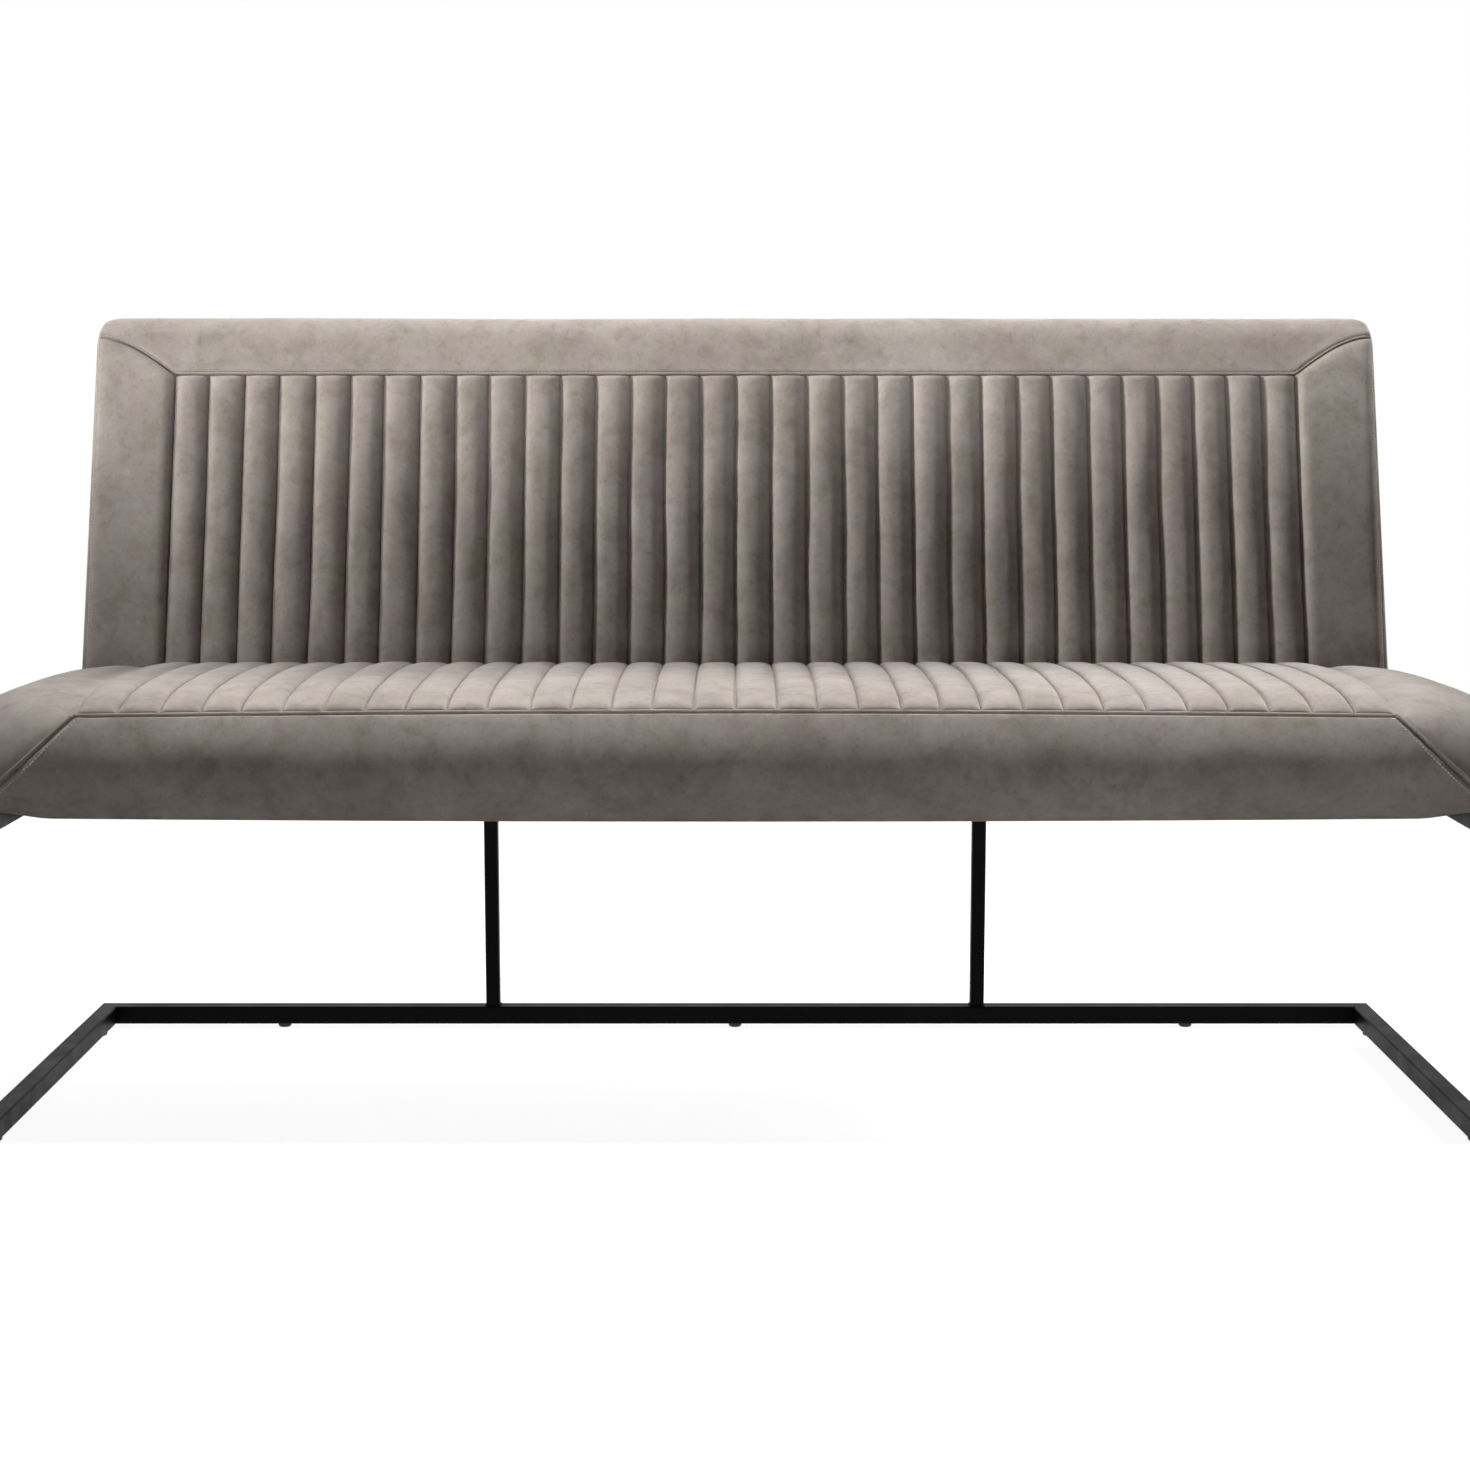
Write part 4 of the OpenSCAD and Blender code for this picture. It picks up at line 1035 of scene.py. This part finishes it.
def rear_panel():
    """Plain rear of the backrest, from its base to the seam behind the top."""
    x = np.linspace(BACK_HALF - GAP, -BACK_HALF + GAP, 150)
    upper = around_top(x, np.full_like(x, math.pi + REAR_LEAN)) - [0, GAP * math.sin(REAR_LEAN), GAP]
    base = 0 * x + BACK_BASE
    lower = np.stack([x, rear_line_y(base), base], axis=-1)
    rows = np.concatenate([[0, 0.004, 0.012], np.linspace(0.03, 0.97, 44), [0.988, 0.996, 1]])
    points = mix(lower, upper, rows[:, None, None])
    to_edge = np.minimum(np.minimum(rows, 1 - rows)[:, None] * np.linalg.norm(upper[0] - lower[0]),
                         BACK_HALF - np.abs(x))
    wave = wave_field(900, x, 0.16, rows * 4.99)
    relief = (0.0012 + 0.0007 * wave) * edge_rise(to_edge, 0.05) + groove(to_edge, 0.0012, 0.002)
    cover("backrest_rear_cover", drawn_in(raised(points, relief)), drawn_in(raised(points, -0.006)),
          (6, 6), ["backrest_rear_panel"])


def seat_rear():
    """Plain cover over the rear of the seat, against the backrest."""
    v = np.linspace(0, 1, 30)
    sx, sz = side_line(v, np.full_like(v, SEAT_REAR_TOP))
    x = np.linspace(1, -1, 60) * (sx - GAP)[:, None]
    z = sz[:, None] + 0 * x
    points = np.stack([x, rear_y(z) - GAP, z], axis=-1)[::-1]
    cover("seat_rear_cover", points, points - [0, 0.003, 0], (5, 6), ["seat_rear_panel"])


# Stitches: each is a capsule of rings, by place along it and share of its radius
STITCH_SIDES = 6
STITCH_RINGS = (-0.42, 0.6), (-0.2, 1.0), (0.2, 1.0), (0.42, 0.6)
STITCH_WIDTH = 1.3 * STITCH_R
STITCH_LIFT = 0.0001


def turns(sides):
    return [2 * math.pi * k / sides for k in range(sides)]


def tube(start, sides, rings):
    """Faces round a row of rings of vertices, the first of which has the number `start`."""
    ring = [(k, (k + 1) % sides) for k in range(sides)]
    return [(a + r, b + r, b + r + sides, a + r + sides)
            for r in range(start, start + (rings - 1) * sides, sides) for a, b in ring]


def stitch_row(name, path, outward):
    """Small capsules of thread at even steps along a path of points, as one mesh."""
    lengths = np.concatenate([[0], np.cumsum(np.linalg.norm(np.diff(path, axis=0), axis=1))])
    marks = np.arange(STITCH_PITCH / 2, lengths[-1], STITCH_PITCH)

    def read(values, places):
        return np.stack([np.interp(places, lengths, values[:, k]) for k in range(3)], axis=-1)

    half = STITCH_LENGTH / 2
    ahead = unit(read(path, marks + half) - read(path, marks - half))
    across = unit(np.cross(ahead, read(outward, marks)))
    up = np.cross(across, ahead)
    local = np.array([(-0.5, 0, 0)] + [
        (place, width * math.cos(angle), width * math.sin(angle))
        for place, width in STITCH_RINGS for angle in turns(STITCH_SIDES)] + [(0.5, 0, 0)])
    count = len(local)
    faces = tube(1, STITCH_SIDES, len(STITCH_RINGS))
    for tip, first in ((0, 1), (count - 1, count - 1 - STITCH_SIDES)):
        faces += [(tip, first + k, first + (k + 1) % STITCH_SIDES) for k in range(STITCH_SIDES)]
    axes = np.stack([STITCH_LENGTH * ahead, STITCH_WIDTH * across, STITCH_R * up], axis=1)
    points = (read(path, marks) + STITCH_LIFT * up)[:, None] + local @ axes
    faces = [tuple(i + n * count for i in f) for n in range(len(marks)) for f in faces]
    new_piece(name, placed(points), faces, "plain_suede", sharp=80, material=THREAD)


def sew(front, top, back_side):
    """Rows of stitches on the grids of the front border, the top border and the backrest's side."""
    def row(name, skin, rows, cols):
        stitch_row(name, skin[rows, cols], normals_of(skin)[rows, cols])

    rows, cols = front.shape[:2]
    lip = len(FrontBorder.lip_turns + FrontBorder.lip_reaches)
    seam, beside = rows - 1 - FURROW, FURROW + 10
    row("front_seam_stitches", front, seam, slice(FURROW, cols - FURROW))
    row("front_mitre_stitches_left", front, slice(lip, seam), beside)
    row("front_mitre_stitches_right", front, slice(lip, seam), cols - 1 - beside)
    set_back = int(np.argmin(np.abs(NEAR_SEAM - STITCH_SET_BACK)))
    row("top_seam_stitches", top, set_back, slice(5, top.shape[1] - 5))
    for side, sign in (("right", 1), ("left", -1)):
        stitch_row("side_seam_stitches_" + side, back_side[:, -4] * [sign, 1, 1],
                   normals_of(back_side)[:, -4] * [sign, 1, 1])


# Dust covers, stapled under the boards
HEM = 0.012
STAPLE_PITCH = 0.055
STAPLE_LENGTH = 0.010
STAPLE_R = 0.00045
SCALLOP = 0.0008
CLOTH_UNDER = RAIL_TOP + 0.0003
CLOTH_TOP = RAIL_TOP + 0.0009
CLOTH_SAG = 0.0022
SLOT_HALF = 0.0095
SLOT_REACH = 0.036
EDGE_GAP = 0.0005


def on_rails(words):
    """Boxes of the nodes with one of these words in their names whose tops the seat rests on."""
    boxes = [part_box(name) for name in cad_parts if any(word in name for word in words)]
    return [box for box in boxes if abs(box[1][2] - RAIL_TOP) < 0.002]


TUBE_BOXES = on_rails(("tube", "rail", "post"))


def from_tubes(x, y):
    """Distance in plan from each point to the nearest tube under the seat."""
    gaps = [np.hypot(np.clip(np.maximum(lo[0] - x, x - hi[0]), 0, None),
                     np.clip(np.maximum(lo[1] - y, y - hi[1]), 0, None)) for lo, hi in TUBE_BOXES]
    return np.min(gaps, axis=0)


def cloth_sag(x, y):
    return CLOTH_SAG * smooth(from_tubes(x, y) / 0.07)


def scallops(along):
    return SCALLOP * np.abs(np.sin(np.pi * along / STAPLE_PITCH))


def dust_sheet(name, node, corner, slots):
    """Thin cloth stapled under a board, with a hem all round and open slots for the posts."""
    (x0, y0, _), (x1, y1, _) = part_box(node)
    half = (x1 - x0) / 2 - EDGE_GAP
    slot_start = y1 - SLOT_REACH
    xs = np.unique(np.round(np.concatenate([
        np.linspace(-half, half, 113), [-half + HEM, half - HEM, -half + HEM / 2, half - HEM / 2],
        [s + k for s in slots for k in (-SLOT_HALF, SLOT_HALF)]]), 5))
    ys = np.unique(np.round(np.concatenate([
        np.linspace(y0 + EDGE_GAP, y1 - EDGE_GAP, 36), [y0 + HEM, y1 - HEM, slot_start],
        np.linspace(y0, y0 + corner, 5)[1:]]), 5))
    gx, gy = np.meshgrid(xs, ys, indexing="ij")
    reach = half - np.clip(corner - (gy - y0), 0, None)
    to_end = half - np.abs(gx)
    to_side = np.minimum(gy - ys[0], ys[-1] - gy)
    bound = np.minimum(to_end, to_side)
    x = gx * reach / half - np.sign(gx) * scallops(gy) * (to_end < 1e-4)
    y = gy + scallops(gx) * np.sign(ys.mean() - gy) * (to_side < 1e-4)
    sag = cloth_sag(x, y)
    ripple = 0.0002 * np.sin(x * 41 + 3 * np.sin(y * 23)) * smooth(bound / 0.05) * (sag > 0.001)
    under = CLOTH_UNDER - np.where(bound < HEM - 1e-5, 0.8 * sag + 0.0002, sag + 0.00005 + ripple)
    top = np.where(bound < 1e-4, under + 0.0005, np.maximum(under + 0.0006, CLOTH_TOP - sag))
    keep = np.ones((len(xs) - 1, len(ys) - 1), bool)
    for s in slots:
        inside = (xs[:-1] > s - SLOT_HALF - 1e-4) & (xs[1:] < s + SLOT_HALF + 1e-4)
        keep[np.ix_(inside, ys[:-1] >= slot_start - 1e-6)] = False
    points, faces = slab(np.stack([x, y, top], -1), np.stack([x, y, under], -1), keep)
    sheet = new_piece(name, points, faces, "dust_cloth", [node], sharp=30)
    staples = staple_row(name + "_staples", xs, ys, half, slots)


def slab(top, under, keep):
    """Vertices and faces of a closed slab between two grids, over the cells that are kept."""
    count = keep.shape[0] + 1, keep.shape[1] + 1
    at = np.arange(count[0] * count[1]).reshape(count)
    down = at.size
    faces = []
    for i, j in zip(*np.nonzero(keep)):
        a, b, c, d = at[i, j], at[i + 1, j], at[i + 1, j + 1], at[i, j + 1]
        faces += [(a, b, c, d), (d + down, c + down, b + down, a + down)]
        for p, q, ni, nj in ((a, b, i, j - 1), (b, c, i + 1, j), (c, d, i, j + 1), (d, a, i - 1, j)):
            if not (0 <= ni < keep.shape[0] and 0 <= nj < keep.shape[1] and keep[ni, nj]):
                faces.append((p, q, q + down, p + down))
    points = np.concatenate([top.reshape(-1, 3), under.reshape(-1, 3)])
    used = np.unique(np.concatenate([np.ravel(f) for f in faces]))
    return points[used], [np.searchsorted(used, f).tolist() for f in faces]


def staple_row(name, xs, ys, half, slots):
    """Wire staples through the hem, left out where a tube covers it."""
    inset = HEM / 2
    spots = [(x, y, 0.0) for y in (ys[0] + inset, ys[-1] - inset)
             for x in np.arange(-half + 0.05, half - 0.045, STAPLE_PITCH)]
    spots += [(side * (half - inset), y, math.pi / 2) for side in (-1, 1)
              for y in np.arange(ys[0] + 0.05, ys[-1] - 0.04, STAPLE_PITCH)]
    points, faces = [], []
    for n, (x, y, turn) in enumerate(spots):
        if from_tubes(x, y) < 0.008 or any(abs(x - s) < 0.02 for s in slots):
            continue
        turn += 0.12 * math.sin(n * 2.7)
        z = CLOTH_UNDER - 0.8 * float(cloth_sag(x, y)) - 0.0002 - STAPLE_R * 0.7
        h = STAPLE_LENGTH / 2
        line = [(-h, RAIL_TOP + 0.0008), (-h, z + 0.0004), (-h + 0.0006, z), (h - 0.0006, z),
                (h, z + 0.0004), (h, RAIL_TOP + 0.0008)]
        path = np.array([[x + u * math.cos(turn), y + u * math.sin(turn), w] for u, w in line])
        rod(path, [STAPLE_R] * len(path), 6, points, faces)
    return new_piece(name, points, faces, "zinc_steel", sharp=60)


def rod(path, radii, sides, points, faces):
    """Adds a closed rod along a path to lists of points and faces."""
    span = unit(path[-1] - path[0])
    across = unit(np.cross(span, [0, 0, 1.0] if abs(span[2]) < 0.9 else [0, 1.0, 0]))
    start = len(points)
    for p, ahead, r in zip(path, unit(np.gradient(path, axis=0)), radii):
        up = unit(np.cross(across, ahead))
        points += [p + r * (math.cos(angle) * across + math.sin(angle) * up) for angle in turns(sides)]
    faces += tube(start, sides, len(path))
    faces += [tuple(range(first, first + sides)) for first in (start, len(points) - sides)]


# Weld beads
BEAD_R = 0.0017
BEAD_RIPPLE = 0.0018


def bead(start, end, points, faces):
    """A rippled fillet weld between two points, tapered at both ends."""
    start, end = np.array(start, float), np.array(end, float)
    length = np.linalg.norm(end - start)
    along = np.linspace(0, 1, max(int(length / BEAD_RIPPLE * 4), 8))
    ripple = 1 + 0.10 * np.sin(along * length / BEAD_RIPPLE * 2 * math.pi)
    taper = np.sqrt(np.clip(np.minimum(along, 1 - along) * length / 0.002, 0.12, 1))
    rod(mix(start, end, along[:, None]), BEAD_R * ripple * taper, 8, points, faces)


def weld_beads():
    """Beads round both ends of the uprights, and where the cross tubes meet the seat rails."""
    points, faces = [], []
    for side in ("left", "right"):
        (x0, y0, _), (x1, y1, _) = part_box("rear_upright_" + side)
        ring = [(x0, y0), (x1, y0), (x1, y1), (x0, y1)]
        for z in (TUBE_BASE + TUBE, RAIL_TOP - TUBE):
            for a, b in zip(ring, ring[1:] + ring[:1]):
                bead((*a, z), (*b, z), points, faces)
    for (x0, y0, z0), (x1, y1, z1) in on_rails(("cross",)):
        for x in (x0, x1):
            if abs(abs(x) - INNER_HALF) > 0.004:
                continue
            for y in (y0, y1):
                bead((x, y, z0 + 0.001), (x, y, z1 - 0.001), points, faces)
    new_piece("weld_beads", points, faces, "powder_steel", sharp=70)


def dress_cad():
    """Gives every CAD node that stays the material of its slot."""
    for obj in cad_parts.values():
        for holder in obj.material_slots:
            old = holder.material.name if holder.material else ""
            for slot, material in SLOT_MATERIALS.items():
                if slot in old:
                    holder.material = material


# Studio: name, place, aim, size, watts and spread in degrees of each lamp
LAMPS = [
    ("key_left", (-4.2, -1.0, 1.29), (0.75, 0.2, 1.29), (0.7, 0.4), 9.5, 26),
    ("left_front", (-3.0, -1.8, 1.1), (-0.8, 0.2, 0.70), (0.6, 0.5), 0.46, 11),
    ("edge_right", (3.0, 1.2, 1.8), (0.4, 0.1, 0.7), (1.0, 1.0), 9.0, 60),
    ("top_steep", (0, -2.0, 2.6), (0, 0.27, 1.0), (2.6, 0.2), 2.3, 16),
    ("top_level", (0, -2.6, 1.35), (0, 0.27, 1.25), (1.2, 0.2), 1.3, 24),
    ("front_low", (0, -3.2, 0.36), (0, -0.3, 0.37), (2.0, 0.1), 0.14, 8),
    ("over_seat", (0, -0.22, 2.2), (0, -0.24, 0.45), (1.6, 0.3), 2.05, 22),
    ("over_rear", (0, 0.74, 2.4), (0, 0.1, 0.6), (1.8, 0.5), 22.0, 180),
]
CAMERA_LENS = 61.14
CAMERA_BACK = 2.5479
CAMERA_H = 0.7719
CAMERA_DIP = 7.513
WORLD_LIGHT = 0.02
WHITE = (1, 1, 1, 1)
FLOOR_HALF = 9.0
FLOOR_TONE = 0.8
FLOOR_GLOW = 0.94
SHADOW_REACH = (1.5, 2.6)


def lamp(name, place, aim, size, power, spread):
    data = bpy.data.lights.new(name, "AREA")
    data.shape = "RECTANGLE"
    data.size, data.size_y = size
    data.energy = power
    data.spread = math.radians(spread)
    obj = linked(name, data)
    obj.location = place
    run = np.array(aim) - np.array(place)
    tilt = math.atan2(-run[2], math.hypot(run[0], run[1]))
    obj.rotation_euler = (math.pi / 2 - tilt, 0, math.atan2(-run[0], run[1]))


def studio():
    scene = bpy.context.scene
    scene.view_settings.view_transform = "Standard"
    camera = bpy.data.cameras.new("camera")
    camera.lens = CAMERA_LENS
    camera.sensor_width = 36
    view = linked("camera", camera)
    view.location = (0, FRONT_Y - CAMERA_BACK, CAMERA_H)
    view.rotation_euler = (math.radians(90 - CAMERA_DIP), 0, 0)
    scene.camera = view
    for entry in LAMPS:
        lamp(*entry)
    world = bpy.data.worlds.new("studio")
    scene.world = world
    world.use_nodes = True
    s = Nodes(world.node_tree)
    back = s.nodes["Background"].inputs
    s.feed(back["Color"], WHITE)
    s.feed(back["Strength"], s.between(s.unlit_ray(), 0, 1, WORLD_LIGHT, 1))


def floor():
    """A floor that keeps the object's shadow near it and is plain white further off."""
    half = FLOOR_HALF
    obj = mesh_object("floor", [(-half, -half, 0), (half, -half, 0), (half, half, 0), (-half, half, 0)],
                      [(0, 1, 2, 3)])
    s = Shader("floor")
    s.nodes.remove(s.surface)
    seen = s.unlit_ray()
    diffuse = s.node("BsdfDiffuse", Color=(FLOOR_TONE, FLOOR_TONE, FLOOR_TONE, 1))
    glow = s.node("Emission", Strength=s.between(seen, 0, 1, 0, FLOOR_GLOW))
    near = s.node("AddShader", diffuse.outputs[0], glow.outputs[0])
    far = s.node("Emission", Strength=s.between(seen, 0, 1, FLOOR_TONE * WORLD_LIGHT, 1))
    length = s.node("VectorMath", s.place)
    length.operation = "LENGTH"
    away = s.between(length.outputs["Value"], *SHADOW_REACH, 0, 1)
    both = s.node("MixShader", away, near.outputs[0], far.outputs[0])
    s.feed(s.nodes["Material Output"].inputs["Surface"], both.outputs[0])
    obj.data.materials.append(s.material)


def main():
    seat, back, side, back_side = SeatPanel(), BackPanel(), SideBorder(), BackSide()
    front = FrontBorder(seat)
    simulated = (seat, back, front, side, back_side)
    for piece in simulated:
        piece.lay()
    moved = settle_cloths()
    for piece in simulated:
        piece.build(moved)
    top_skin = top_border()
    end_panels()
    rear_panel()
    seat_rear()
    sew(front.skin, top_skin, back_side.skin)
    dust_sheet("seat_dust_sheet", "seat_dust_cover", 0.022, ())
    dust_sheet("backrest_dust_sheet", "backrest_dust_cover", 0.0, (-UPRIGHT_X, UPRIGHT_X))
    weld_beads()
    dress_cad()
    studio()
    floor()


main()
